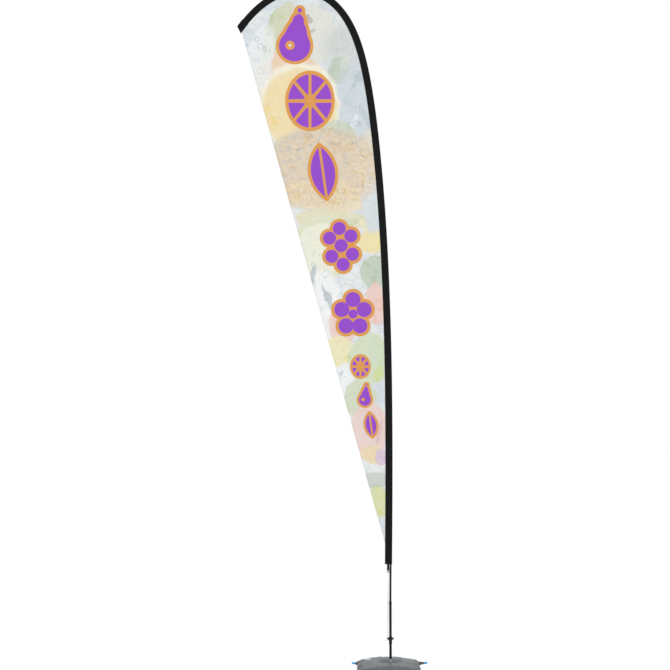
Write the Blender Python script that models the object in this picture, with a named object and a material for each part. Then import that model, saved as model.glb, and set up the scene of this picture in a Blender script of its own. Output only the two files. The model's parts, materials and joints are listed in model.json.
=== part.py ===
"""Teardrop flag: a hooked mast in a pocketed flag, on a ball-bearing spindle and a
folding steel cross base held down by a water bag. Metres, +Z up. The flag lies in the
XZ plane, the mast leans over towards -X, and the origin is on the ground under the mast."""
import math

import bmesh
import bpy
from mathutils import Matrix, Vector
from mathutils.bvhtree import BVHTree

# ---- fits -----------------------------------------------------------------------
SEAT_GAP = 0.0003          # between faces that rest on each other
SLIP = 0.0003              # radial play of a slip fit
BALL_PLAY = 0.0001         # radial play of a ball in its race

# ---- cross base -----------------------------------------------------------------
BAR_WIDTH = 0.030
BAR_THICKNESS = 0.005
FIXED_BAR_HALF = 0.392     # mast axis to the end of the fixed bar
FOLD_CLEARANCE = 0.006     # between the fixed bar's feet and the swing bar's, folded
FOOT_LENGTH = 0.045
FOOT_GRIP = 0.036          # how far a foot reaches along its bar
FOOT_SIDE = 0.0035         # rubber beside the bar
FOOT_ROOF = 0.0015         # rubber above the bar
PAD_RADIUS = 0.030
PAD_HEIGHT = 0.007
HEAD_HEIGHT = 0.0042
WASHER_RADIUS = 0.014
WASHER_THICKNESS = 0.0015
BOLT_RADIUS = 0.006
NUT_FLATS = 0.019
CLAMP_NUT_HEIGHT = 0.006
AXLE_NUT_HEIGHT = 0.005
BOLT_STUB = 0.002          # bolt standing above the axle nut

# ---- bearings and spindle ---------------------------------------------------------
BEARING_RADIUS = 0.014
BEARING_WIDTH = 0.008
RING_WALL = 0.0018
BALL_COUNT = 7
CAGE_WALL = 0.0012
CAGE_WIDTH = 0.0046
SHIM_HEIGHT = 0.002
SPACER_LENGTH = 0.012
SPACER_WALL = 0.0014
CIRCLIP_THICKNESS = 0.0014
CIRCLIP_BITE = 0.0012      # how deep the retaining ring sits in its groove
HUB_LIP = 0.0015
HUB_WALL = 0.0037
HUB_CONE = 0.014
SEAT_HEIGHT = 0.1262       # shoulder that carries the mast
ROD_SOCKET = 0.028
ROD_ABOVE_SEAT = 0.100
ROD_CHAMFER = 0.25         # share of the rod's radius taken off its end

# ---- mast -------------------------------------------------------------------------
MAST_LENGTH = 5.132        # along the curve, from the shoulder to the tip cap's end
FOOT_TUBE_LENGTH = 0.365
FOOT_TUBE_RADIUS = 0.00825
TUBE_WALL = 0.0012
NECK_RADIUS = FOOT_TUBE_RADIUS + 0.00025   # the hub where it meets the foot tube
TUBE_PLAY = 0.00015
PLUG_LENGTH = 0.080        # how far each section plugs into the one below
SECTION_TOPS = (1.55, 2.75, 3.95)
BAND_LENGTH = 0.024
BAND_WALL = 0.0005
TIP_CAP_LENGTH = 0.022
TIP_CAP_WALL = 0.0014
LAW_LENGTH = MAST_LENGTH + 0.025    # length over which the bend is laid out
MAST_LEAN = 0.715          # degrees, away from the flag
LEAN_RISE = 0.08
MAST_SWEEP = 15.83         # degrees, the long gentle bow
TIP_HOOK = 137.04          # degrees, the sharp bend of the thin sections
HOOK_CENTRE = MAST_LENGTH - 0.551
HOOK_SPREAD = 0.411

# ---- flag ---------------------------------------------------------------------------
SLEEVE_START = 0.602       # along the mast
SLEEVE_END = MAST_LENGTH + 0.017
SLEEVE_RADIUS = FOOT_TUBE_RADIUS + 0.00155
SLEEVE_BORE_PLAY = 0.0013
BORE_BACK = 86.0           # degrees that the bore's rear points are spread over
SLEEVE_REACH = 0.037       # mast axis to the seam with the panel
WEB_START = 0.024
WEB_HALF = 0.0013
WEB_DRAW = (0.30, 0.80)    # (share of the web's start, share of the radius) at the draw-in
TIP_SKEW = 0.53            # the sleeve's end follows the free edge, not a square cut
POCKET_LENGTH = 0.062
POCKET_WALL = 0.0016
POCKET_EASE = 0.0005
PANEL_START = 0.727        # along the mast, where the free edge meets the sleeve
PANEL_END = SLEEVE_END + 0.009
PANEL_THICKNESS = 0.0012
MAST_SAMPLES = ((PANEL_START + 0.073, 3), (HOOK_CENTRE - 0.981, 8), (HOOK_CENTRE - 0.531, 4),
                (PANEL_END + 0.011, 20))  # (where a stretch ends, how many samples it has)
SAMPLE_GAP = 0.004         # samples nearer than this to a piece's end are dropped
TAB_WIDTH = 0.015
TAB_THICKNESS = 0.0016
TAB_LENGTH = 0.053
TAB_CLEAR = 0.0015         # between the tab and the mast
EYELET_INNER = 0.0035
EYELET_OUTER = 0.0055
EYELET_WALL = 0.0005
EYELET_RAISE = 0.008       # eyelet centre above the tab's end

# ---- tension collar and cord ----------------------------------------------------------
COLLAR_HEIGHT = 0.2546     # ground to the ears
COLLAR_RADIUS = FOOT_TUBE_RADIUS + 0.00195
COLLAR_SKIRT = 0.0325      # ears to the bottom
COLLAR_TOP = 0.0125        # ears to the top
EAR_REACH = 0.0205
EAR_HALF = 0.0028
EAR_POWER = 8              # even: how sharply the collar draws out into its two ears
CORD_RADIUS = 0.0015
CORD_SIDES = 8
EAR_HOLE_RADIUS = 0.0021
EAR_HOLE = 0.0150          # mast axis to the ear's hole and the cord's inner leg
OUTER_LEG = 0.0228         # mast axis to the cord's outer leg
SADDLE_RADIUS = 0.0046     # bend of the cord through the eyelet
SADDLE_STEPS = 6
LEG_STEPS = 6
TURN_IN = 0.3              # share of the way between the legs where the cord meets its knot
TURN_IN_RISE = 0.001
KNOT_RADIUS = 0.0034
TAIL_LENGTH = 0.020
TAIL_DROP = math.radians(38.0)

# ---- water bag ---------------------------------------------------------------------------
BAG_HALF = 0.200
BAG_CORNER = 0.060
BAG_SHIFT = -0.012
BAG_HEIGHT = 0.117
BAG_REST_GAP = 0.0004
BAG_HOLE_RADIUS = 0.030
SPOUT_HEIGHT = 0.0675
SPOUT_ANGLE = 22.5         # degrees round the rear corners
BOOT_RADIUS = 0.015
BOOT_LENGTHS = (0.017, 0.046)
STEM_RADIUS = 0.0052
STEM_BORE = 0.0032
STEM_LENGTH = 0.013
CAP_RADIUS = 0.0066
CAP_LENGTH = 0.024
CAP_CROWN = 0.3            # share of the cap's radius taken off its end
THREAD_PLAY = 0.0003
SEAL_THICKNESS = 0.0012
LABEL_WIDTH = 0.038
LABEL_DEPTH = 0.080
LABEL_CENTRE = (-0.148, 0.078)
LABEL_THICKNESS = 0.0010
LABEL_LIFT = 0.0009
LABEL_COLUMNS = 6
LABEL_ROWS = 12
SIDE_STEPS = 4
CORNER_STEPS = 4
CORNER_DROOP = 0.12        # share of the height lost at a corner's edge
DROOP_FROM = 0.5           # share of the height above which the corners droop
BAG_PROFILE = ((0.0, 0.10), (0.0, 0.82), (0.06, 0.92), (0.45, 1.0), (0.86, 0.94), (1.0, 0.70),
               (1.0, 0.29), (0.90, 0.028), (0.50, 0.0), (0.06, 0.01))  # (hole to edge, foot to top)

ROUND = 24                 # sides of a round machined piece
SMALL_ROUND = 16
SECTION_SIDES = 12         # sides of the mast

# ---- heights that follow from the stack on the bolt -----------------------------------------
FIXED_BAR_Z = PAD_HEIGHT + SEAT_GAP
WASHER_Z = FIXED_BAR_Z + BAR_THICKNESS + SEAT_GAP
SWING_BAR_Z = WASHER_Z + WASHER_THICKNESS + SEAT_GAP
SWING_BAR_TOP = SWING_BAR_Z + BAR_THICKNESS
SPRING_WASHER_Z = SWING_BAR_TOP + SEAT_GAP
CLAMP_NUT_Z = SPRING_WASHER_Z + WASHER_THICKNESS + SEAT_GAP
SHIM_Z = CLAMP_NUT_Z + CLAMP_NUT_HEIGHT + SEAT_GAP
LOWER_BEARING_Z = SHIM_Z + SHIM_HEIGHT + SEAT_GAP
SPACER_Z = LOWER_BEARING_Z + BEARING_WIDTH + SEAT_GAP
UPPER_BEARING_Z = SPACER_Z + SPACER_LENGTH + SEAT_GAP
AXLE_NUT_Z = UPPER_BEARING_Z + BEARING_WIDTH + SEAT_GAP
BOLT_TOP = AXLE_NUT_Z + AXLE_NUT_HEIGHT + BOLT_STUB
FIXED_FOOT_END = FIXED_BAR_HALF + FOOT_LENGTH - FOOT_GRIP
SWING_BAR_HALF = FIXED_FOOT_END + FOLD_CLEARANCE + FOOT_GRIP
ROD_RADIUS = FOOT_TUBE_RADIUS - TUBE_WALL - SLIP
FOOT_TUBE_Z = SEAT_HEIGHT + SEAT_GAP

BODIES = {}


# ---- shared helpers ---------------------------------------------------------------------------
def clear_scene():
    for old in list(bpy.data.objects):
        bpy.data.objects.remove(old, do_unlink=True)


def finish(name, colour, roughness, metallic=0.0):
    """A Principled material of one colour."""
    material = bpy.data.materials.new(name)
    material.use_nodes = True
    shader = material.node_tree.nodes["Principled BSDF"]
    shader.inputs["Base Color"].default_value = (*colour, 1.0)
    shader.inputs["Roughness"].default_value = roughness
    shader.inputs["Metallic"].default_value = metallic
    material.diffuse_color = (*colour, 1.0)
    return material


def joint_empty(name, place, parent=None):
    """An empty on a joint's axis, which the pieces of that body hang from."""
    empty = bpy.data.objects.new(name + "_axis", None)
    empty.empty_display_size = 0.05
    bpy.context.collection.objects.link(empty)
    empty.location = place
    if parent:
        empty.parent = BODIES[parent]
        empty.location = Vector(place) - BODIES[parent].matrix_world.translation
    bpy.context.view_layer.update()
    BODIES[name] = empty


def add(name, bm, material, body, smooth=30.0):
    """Turn a bmesh in world coordinates into a named piece of a body."""
    bmesh.ops.recalc_face_normals(bm, faces=bm.faces)
    mesh = bpy.data.meshes.new(name)
    bm.to_mesh(mesh)
    bm.free()
    piece = bpy.data.objects.new(name, mesh)
    bpy.context.collection.objects.link(piece)
    mesh.materials.append(material)
    mesh.shade_smooth()
    mesh.set_sharp_from_angle(angle=math.radians(smooth))
    origin = BODIES[body].matrix_world.translation
    mesh.transform(Matrix.Translation(-origin))
    piece.parent = BODIES[body]
    return piece


def cut(piece, bm, operation="DIFFERENCE"):
    """Cut a bmesh in world coordinates out of a piece, or join it on."""
    bmesh.ops.recalc_face_normals(bm, faces=bm.faces)
    mesh = bpy.data.meshes.new(piece.name + "_tool")
    bm.to_mesh(mesh)
    bm.free()
    tool = bpy.data.objects.new(piece.name + "_tool", mesh)
    bpy.context.collection.objects.link(tool)
    tool.hide_render = True
    tool.display_type = "WIRE"
    modifier = piece.modifiers.new("shape", "BOOLEAN")
    modifier.operation = operation
    modifier.object = tool
    modifier.solver = "EXACT"


def skin(rings, closed=False):
    """Walls between equal rings, one after another. Ends are filled, or joined if closed."""
    bm = bmesh.new()
    loops = [[bm.verts.new(point) for point in ring] for ring in rings]
    pairs = list(zip(loops, loops[1:]))
    if closed:
        pairs.append((loops[-1], loops[0]))
    else:
        bm.faces.new(loops[0])
        bm.faces.new(loops[-1])
    for near, far in pairs:
        for i in range(len(near)):
            j = (i + 1) % len(near)
            bm.faces.new((near[i], near[j], far[j], far[i]))
    return bm


def turned(profile, sides=ROUND, frame=None):
    """Spin a profile of (radius, height) about Z. One that starts on the axis ends on it."""
    bm = bmesh.new()
    verts = [bm.verts.new((radius, 0.0, height)) for radius, height in profile]
    edges = [bm.edges.new(pair) for pair in zip(verts, verts[1:])]
    if profile[0][0] > 0.0:
        edges.append(bm.edges.new((verts[-1], verts[0])))
    bmesh.ops.spin(bm, geom=verts + edges, cent=(0, 0, 0), axis=(0, 0, 1),
                   angle=math.tau, steps=sides, use_merge=True)
    bmesh.ops.remove_doubles(bm, verts=bm.verts, dist=1e-6)
    if frame:
        bmesh.ops.transform(bm, matrix=frame, verts=bm.verts)
    return bm


def ring(inner, outer, low, high):
    """The profile of a plain ring."""
    return [(inner, low), (outer, low), (outer, high), (inner, high)]


def box(low, high):
    """A box between two corners."""
    bm = bmesh.new()
    low, high = Vector(low), Vector(high)
    size = Matrix.Diagonal((high - low).to_4d())
    size[3][3] = 1.0
    bmesh.ops.create_cube(bm, size=1.0, matrix=Matrix.Translation((low + high) / 2) @ size)
    return bm


def drill(radius, low, high, x=0.0, y=0.0):
    """A round tool along Z."""
    bm = bmesh.new()
    bmesh.ops.create_cone(bm, cap_ends=True, segments=ROUND, radius1=radius, radius2=radius,
                          depth=high - low, matrix=Matrix.Translation((x, y, (low + high) / 2)))
    return bm


def hexagon(flats, height):
    """A hexagon's outline at a height, with as many points as a round piece."""
    points = []
    for i in range(ROUND):
        angle = math.tau * i / ROUND
        off_face = (angle + math.pi / 6) % (math.pi / 3) - math.pi / 6
        radius = flats / 2 / math.cos(off_face)
        points.append(Vector((radius * math.cos(angle), radius * math.sin(angle), height)))
    return points


def circle(radius, height):
    """A round outline at a height."""
    angles = [math.tau * i / ROUND for i in range(ROUND)]
    return [Vector((radius * math.cos(a), radius * math.sin(a), height)) for a in angles]


# ---- the mast's line ----------------------------------------------------------------------------
def heading(s):
    """The mast's angle from upright, towards -X, at a distance along it from the shoulder."""
    past_tube = max(s - FOOT_TUBE_LENGTH, 0.0)
    share = past_tube / (LAW_LENGTH - FOOT_TUBE_LENGTH)
    lean = -MAST_LEAN * (1.0 - math.exp(-past_tube / LEAN_RISE))
    hook = TIP_HOOK * (0.5 + 0.5 * math.tanh((s - HOOK_CENTRE) / HOOK_SPREAD))
    return math.radians(lean + MAST_SWEEP * share * share + hook)


def mast_stations():
    """Distances where the mast's line is sampled: wide apart below, close in the hook."""
    stations = [0.0, FOOT_TUBE_LENGTH]
    for end, count in MAST_SAMPLES:
        start = stations[-1]
        stations += [start + (end - start) * i / count for i in range(1, count + 1)]
    return stations


def mast_line():
    """Points of the mast's line at its stations, by small steps along the heading."""
    step_length = 0.002
    place = Vector((0.0, 0.0, FOOT_TUBE_Z))
    line = [(0.0, place.copy(), heading(0.0))]
    travelled = 0.0
    for station in mast_stations()[1:]:
        count = math.ceil((station - travelled) / step_length)
        step = (station - travelled) / count
        for i in range(count):
            middle = heading(travelled + step * (i + 0.5))
            place = place + Vector((-math.sin(middle), 0.0, math.cos(middle))) * step
        travelled = station
        line.append((station, place.copy(), heading(station)))
    return line


MAST_LINE = mast_line()


def on_mast(s):
    """Centre, direction and outward normal of the mast at a distance along it."""
    for (s0, p0, a0), (s1, p1, a1) in zip(MAST_LINE, MAST_LINE[1:]):
        if s <= s1 + 1e-9 or s1 == MAST_LINE[-1][0]:
            share = (s - s0) / (s1 - s0)
            angle = a0 + (a1 - a0) * share
            ahead = Vector((-math.sin(angle), 0.0, math.cos(angle)))
            outward = Vector((math.cos(angle), 0.0, math.sin(angle)))
            return p0.lerp(p1, share), ahead, outward


def stretch(start, end):
    """Every sampled distance from start to end, with both ends."""
    return [start] + [s for s, _, _ in MAST_LINE if start + SAMPLE_GAP < s < end - SAMPLE_GAP] + [end]


def mast_ring(s, section, skew=0.0, ahead_by=0.0):
    """A section of (outward, sideways) offsets, set square to the mast at s, or skewed."""
    centre, ahead, outward = on_mast(s)
    points = []
    for out, side in section:
        along = ahead_by - skew * out
        points.append(centre + outward * out + Vector((0.0, side, 0.0)) + ahead * along)
    return points


def round_section(radius):
    angles = [math.tau * i / SECTION_SIDES for i in range(SECTION_SIDES)]
    return [(radius * math.cos(a), radius * math.sin(a)) for a in angles]


def sleeve_section(grow=0.0):
    """The sleeve's outline: half a circle round the mast, drawn in to a flat web."""
    radius = SLEEVE_RADIUS + grow
    half = WEB_HALF + grow
    angles = [math.radians(a) for a in range(0, 91, 30)]
    front = [(radius * math.cos(a), radius * math.sin(a)) for a in angles]
    drawn_in = (-WEB_DRAW[0] * WEB_START, WEB_DRAW[1] * radius)
    back = [drawn_in, (-WEB_START, half), (-SLEEVE_REACH - grow, half)]
    upper = front + back
    lower = [(out, -side) for out, side in reversed(upper[1:])]
    return upper + lower


def sleeve_bore(radius):
    """The sleeve's round bore, with one point for each point of its outline."""
    upper = [math.radians(a) for a in range(0, 91, 30)]
    upper += [math.radians(90 + BORE_BACK * k / 3) for k in (1, 2, 3)]
    angles = upper + [-a for a in reversed(upper[1:])]
    return [(radius * math.cos(a), radius * math.sin(a)) for a in angles]


def tube(start, end, radius, bore):
    """A hollow length of mast, or a solid one where the bore is nothing."""
    outer = [mast_ring(s, round_section(radius)) for s in stretch(start, end)]
    if not bore:
        return skin(outer)
    inner = [mast_ring(s, round_section(bore)) for s in reversed(stretch(start, end))]
    return skin(outer + inner, closed=True)


# ---- cross base -----------------------------------------------------------------------------------
def frame_along(direction, place):
    """A frame whose Z runs along a direction from a place."""
    return Matrix.Translation(place) @ Vector(direction).to_track_quat("Z", "Y").to_matrix().to_4x4()


def bar(name, low, half, turned_round, material, body):
    """One flat steel bar with the bolt's hole in the middle."""
    reach, side = (BAR_WIDTH / 2, half) if turned_round else (half, BAR_WIDTH / 2)
    high = low + BAR_THICKNESS
    piece = add(name, box((-reach, -side, low), (reach, side, high)), material, body)
    cut(piece, drill(BOLT_RADIUS + SLIP, low - BAR_THICKNESS, high + BAR_THICKNESS))


def foot(name, half, bar_low, direction, material, body):
    """A rubber shoe over a bar's end, standing on the ground."""
    inner = half - FOOT_GRIP
    outer = inner + FOOT_LENGTH
    across = Vector((-direction.y, direction.x, 0.0))

    def rectangle(along, side, low, high):
        corners = [(-side, low), (side, low), (side, high), (-side, high)]
        return [direction * along + across * b + Vector((0.0, 0.0, z)) for b, z in corners]

    top = bar_low + BAR_THICKNESS
    pocket_side = BAR_WIDTH / 2 + SEAT_GAP
    shell_side = BAR_WIDTH / 2 + FOOT_SIDE
    rings = [rectangle(half + SEAT_GAP, pocket_side, bar_low - SEAT_GAP, top + SEAT_GAP),
             rectangle(inner, pocket_side, bar_low - SEAT_GAP, top + SEAT_GAP),
             rectangle(inner, shell_side, 0.0, top + FOOT_ROOF),
             rectangle(outer, shell_side, 0.0, top + FOOT_ROOF)]
    add(name, skin(rings), material, body)


def cross_base():
    steel = finish("powder_coated_steel", (0.045, 0.046, 0.048), 0.45, 0.6)
    rubber = finish("foot_rubber", (0.02, 0.02, 0.02), 0.85)
    zinc = finish("zinc_hardware", (0.66, 0.67, 0.68), 0.32, 1.0)
    nylon = finish("nylon_washer", (0.85, 0.85, 0.82), 0.5)

    bar("fixed_bar", FIXED_BAR_Z, FIXED_BAR_HALF, False, steel, "base")
    foot("foot_left", FIXED_BAR_HALF, FIXED_BAR_Z, Vector((-1, 0, 0)), rubber, "base")
    foot("foot_right", FIXED_BAR_HALF, FIXED_BAR_Z, Vector((1, 0, 0)), rubber, "base")
    bar("swing_bar", SWING_BAR_Z, SWING_BAR_HALF, True, steel, "swing")
    foot("foot_front", SWING_BAR_HALF, SWING_BAR_Z, Vector((0, -1, 0)), rubber, "swing")
    foot("foot_back", SWING_BAR_HALF, SWING_BAR_Z, Vector((0, 1, 0)), rubber, "swing")

    head_room = NUT_FLATS / 2 / math.cos(math.pi / 6) + SLIP
    head_low = PAD_HEIGHT - HEAD_HEIGHT
    pad = [(0.0, 0.0), (PAD_RADIUS, 0.0), (PAD_RADIUS, PAD_HEIGHT), (head_room, PAD_HEIGHT),
           (head_room, head_low - SEAT_GAP), (0.0, head_low - SEAT_GAP)]
    add("centre_pad", turned(pad), rubber, "base")

    shank = BOLT_RADIUS
    rings = [hexagon(NUT_FLATS, head_low), hexagon(NUT_FLATS, PAD_HEIGHT),
             circle(shank, PAD_HEIGHT), circle(shank, BOLT_TOP)]
    add("pivot_bolt", skin(rings), zinc, "base")
    hole = BOLT_RADIUS + SLIP
    washer = ring(hole, WASHER_RADIUS, WASHER_Z, WASHER_Z + WASHER_THICKNESS)
    add("bar_washer", turned(washer), nylon, "base")
    spring_top = SPRING_WASHER_Z + WASHER_THICKNESS
    add("spring_washer", turned(ring(hole, NUT_FLATS / 2, SPRING_WASHER_Z, spring_top)), zinc, "base")
    for name, low, height in (("clamp_nut", CLAMP_NUT_Z, CLAMP_NUT_HEIGHT),
                              ("axle_nut", AXLE_NUT_Z, AXLE_NUT_HEIGHT)):
        rings = [hexagon(NUT_FLATS, low), hexagon(NUT_FLATS, low + height),
                 circle(hole, low + height), circle(hole, low)]
        add(name, skin(rings, closed=True), zinc, "base")


# ---- bearings and spindle ---------------------------------------------------------------------------
def bearing(place, low, steel, brass):
    """A deep-groove ball bearing: fixed inner ring, turning outer ring, balls in a cage."""
    high = low + BEARING_WIDTH
    bore = BOLT_RADIUS + SLIP
    inner_race = bore + RING_WALL
    outer_race = BEARING_RADIUS - RING_WALL
    add("inner_ring_" + place, turned(ring(bore, inner_race, low, high)), steel, "base")
    add("outer_ring_" + place, turned(ring(outer_race, BEARING_RADIUS, low, high)), steel, "spindle")
    pitch = (inner_race + outer_race) / 2
    ball = (outer_race - inner_race) / 2 - BALL_PLAY
    middle = (low + high) / 2
    cage = turned(ring(pitch - CAGE_WALL / 2, pitch + CAGE_WALL / 2,
                       middle - CAGE_WIDTH / 2, middle + CAGE_WIDTH / 2))
    piece = add("ball_cage_" + place, cage, brass, "cage_" + place)
    balls = bmesh.new()
    for i in range(BALL_COUNT):
        angle = math.tau * i / BALL_COUNT
        spot = Vector((pitch * math.cos(angle), pitch * math.sin(angle), middle))
        bmesh.ops.create_uvsphere(balls, u_segments=6, v_segments=5, radius=ball,
                                  matrix=Matrix.Translation(spot))
    cut(piece, balls, "UNION")


def spindle():
    steel = finish("bearing_steel", (0.72, 0.72, 0.73), 0.18, 1.0)
    brass = finish("cage_brass", (0.70, 0.53, 0.24), 0.35, 1.0)
    machined = finish("machined_aluminium", (0.74, 0.75, 0.76), 0.30, 1.0)

    bearing("lower", LOWER_BEARING_Z, steel, brass)
    bearing("upper", UPPER_BEARING_Z, steel, brass)
    hole = BOLT_RADIUS + SLIP
    shim = ring(hole, hole + SPACER_WALL, SHIM_Z, SHIM_Z + SHIM_HEIGHT)
    add("shim_ring", turned(shim), steel, "base")
    spacer_top = SPACER_Z + SPACER_LENGTH
    add("inner_spacer", turned(ring(hole, hole + SPACER_WALL, SPACER_Z, spacer_top)), machined, "base")
    outer_spacer = ring(BEARING_RADIUS - SPACER_WALL, BEARING_RADIUS, SPACER_Z, spacer_top)
    add("outer_spacer", turned(outer_spacer), machined, "spindle")

    bore = BEARING_RADIUS + SLIP
    circlip_top = LOWER_BEARING_Z - SEAT_GAP
    circlip_low = circlip_top - CIRCLIP_THICKNESS
    circlip = ring(BEARING_RADIUS - RING_WALL, bore + CIRCLIP_BITE - SLIP, circlip_low, circlip_top)
    add("retaining_ring", turned(circlip), steel, "spindle")

    outside = bore + HUB_WALL
    groove = bore + CIRCLIP_BITE
    hub_low = circlip_low - SEAT_GAP - HUB_LIP
    shoulder = UPPER_BEARING_Z + BEARING_WIDTH + SEAT_GAP
    nut_room = NUT_FLATS / 2 / math.cos(math.pi / 6) + SLIP
    roof = BOLT_TOP + SLIP
    socket_low = SEAT_HEIGHT - ROD_SOCKET
    socket = ROD_RADIUS + SLIP
    hub = [(0.0, roof), (nut_room, roof), (nut_room, shoulder), (bore, shoulder),
           (bore, circlip_top + SEAT_GAP), (groove, circlip_top + SEAT_GAP),
           (groove, circlip_low - SEAT_GAP), (bore, circlip_low - SEAT_GAP), (bore, hub_low),
           (outside, hub_low), (outside, roof), (NECK_RADIUS, roof + HUB_CONE),
           (NECK_RADIUS, SEAT_HEIGHT), (socket, SEAT_HEIGHT), (socket, socket_low), (0.0, socket_low)]
    add("spindle_hub", turned(hub), machined, "spindle")
    rod_top = SEAT_HEIGHT + ROD_ABOVE_SEAT
    chamfer = ROD_CHAMFER * ROD_RADIUS
    rod = [(0.0, socket_low + SEAT_GAP), (ROD_RADIUS, socket_low + SEAT_GAP),
           (ROD_RADIUS, rod_top - chamfer), (ROD_RADIUS - chamfer, rod_top), (0.0, rod_top)]
    add("spindle_rod", turned(rod), steel, "spindle")


# ---- mast -------------------------------------------------------------------------------------------
def mast():
    anodised = finish("anodised_tube", (0.016, 0.016, 0.018), 0.38, 0.5)
    fibre = finish("glass_fibre", (0.014, 0.014, 0.015), 0.42)
    band = finish("blackened_steel", (0.06, 0.06, 0.065), 0.35, 0.9)
    plastic = finish("tip_plastic", (0.02, 0.02, 0.022), 0.5)

    radius = FOOT_TUBE_RADIUS
    top = FOOT_TUBE_LENGTH
    add("foot_tube", tube(0.0, top, radius, radius - TUBE_WALL), anodised, "mast")
    tip_end = MAST_LENGTH - TIP_CAP_WALL - SEAT_GAP
    for number, end in enumerate(SECTION_TOPS + (tip_end,), start=2):
        band_bore = radius + SLIP
        wrap = tube(top - BAND_LENGTH, top, band_bore + BAND_WALL, band_bore)
        add(f"band_{number - 1}", wrap, band, "mast")
        radius -= TUBE_WALL + TUBE_PLAY
        bore = 0.0 if end == tip_end else radius - TUBE_WALL
        add(f"pole_{number}", tube(top - PLUG_LENGTH, end, radius, bore), fibre, "mast")
        top = end
    inner = round_section(radius + SLIP)
    outer = round_section(radius + SLIP + TIP_CAP_WALL)
    mouth = MAST_LENGTH - TIP_CAP_LENGTH
    rings = [mast_ring(tip_end + SEAT_GAP, inner), mast_ring(mouth, inner),
             mast_ring(mouth, outer), mast_ring(MAST_LENGTH, outer)]
    add("tip_cap", skin(rings), plastic, "mast")


# ---- flag -------------------------------------------------------------------------------------------
def seam(s, grow=0.0):
    """A point on the seam between sleeve and panel."""
    centre, _, outward = on_mast(s)
    return centre - outward * (SLEEVE_REACH + SEAT_GAP + grow)


def flag():
    elastic = finish("black_sleeve_cloth", (0.012, 0.012, 0.013), 0.85)
    cloth = finish("printed_polyester", (0.88, 0.86, 0.74), 0.75)
    webbing = finish("black_webbing", (0.015, 0.015, 0.016), 0.8)
    nickel = finish("nickel_eyelet", (0.70, 0.69, 0.66), 0.3, 1.0)

    bore_radius = FOOT_TUBE_RADIUS - TUBE_WALL - TUBE_PLAY + SLEEVE_BORE_PLAY
    places = stretch(SLEEVE_START, SLEEVE_END)
    skews = [TIP_SKEW if s == SLEEVE_END else 0.0 for s in places]
    outer = [mast_ring(s, sleeve_section(), skew) for s, skew in zip(places, skews)]
    inner = [mast_ring(s, sleeve_bore(bore_radius), skew) for s, skew in zip(places, skews)]
    add("pole_sleeve", skin(outer + inner[::-1], closed=True), elastic, "mast")

    near = sleeve_section(POCKET_EASE)
    far = sleeve_section(POCKET_EASE + POCKET_WALL)
    places = stretch(SLEEVE_END - POCKET_LENGTH, SLEEVE_END)[:-1]
    rings = [mast_ring(SLEEVE_END, near, TIP_SKEW, POCKET_EASE)]
    rings += [mast_ring(s, near) for s in reversed(places)]
    rings += [mast_ring(s, far) for s in places]
    rings += [mast_ring(SLEEVE_END, far, TIP_SKEW, POCKET_EASE + POCKET_WALL)]
    add("tip_pocket", skin(rings), elastic, "mast")

    step_back = POCKET_EASE + POCKET_WALL
    pocket_mouth = SLEEVE_END - POCKET_LENGTH - SEAT_GAP
    outline = [seam(s) for s in stretch(PANEL_START, pocket_mouth)]
    outline += [seam(s, step_back) for s in stretch(pocket_mouth, PANEL_END)]
    half = Vector((0.0, PANEL_THICKNESS / 2, 0.0))
    panel = skin([[p - half for p in outline], [p + half for p in outline]])
    add("flag_panel", panel, cloth, "mast")

    tail_tab(webbing, nickel)


def tab_place():
    """The middle of the tab's top edge, and of its eyelet."""
    centre, _, _ = on_mast(SLEEVE_START)
    mast_radius = FOOT_TUBE_RADIUS - TUBE_WALL - TUBE_PLAY
    x = centre.x - mast_radius - TAB_CLEAR - TAB_WIDTH / 2
    lowest = min(p.z for p in mast_ring(SLEEVE_START, sleeve_section()))
    top = lowest - SEAT_GAP
    eyelet = Vector((x, 0.0, top - TAB_LENGTH + EYELET_RAISE))
    return Vector((x, 0.0, top)), eyelet


def tail_tab(webbing, nickel):
    top, eyelet = tab_place()
    half = TAB_THICKNESS / 2
    low = (top.x - TAB_WIDTH / 2, -half, top.z - TAB_LENGTH)
    high = (top.x + TAB_WIDTH / 2, half, top.z)
    tab = add("tail_tab", box(low, high), webbing, "mast")
    through = frame_along((0, 1, 0), eyelet)
    barrel = EYELET_INNER + EYELET_WALL
    hole = turned([(0.0, -TAB_WIDTH), (barrel + SLIP, -TAB_WIDTH), (barrel + SLIP, TAB_WIDTH),
                   (0.0, TAB_WIDTH)], frame=through)
    cut(tab, hole)
    under = half + SEAT_GAP
    face = under + EYELET_WALL
    spool = [(EYELET_INNER, -face), (EYELET_OUTER, -face), (EYELET_OUTER, -under), (barrel, -under),
             (barrel, under), (EYELET_OUTER, under), (EYELET_OUTER, face), (EYELET_INNER, face)]
    add("tail_eyelet", turned(spool, sides=SMALL_ROUND, frame=through), nickel, "mast")


# ---- tension collar and cord -----------------------------------------------------------------------
def collar_ring(radius, ears, height):
    """A round outline drawn out into two ears along X."""
    points = []
    for i in range(ROUND):
        angle = math.tau * i / ROUND
        reach = radius + ears * math.cos(angle) ** EAR_POWER
        points.append(Vector((reach * math.cos(angle), reach * math.sin(angle), height)))
    return points


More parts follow.
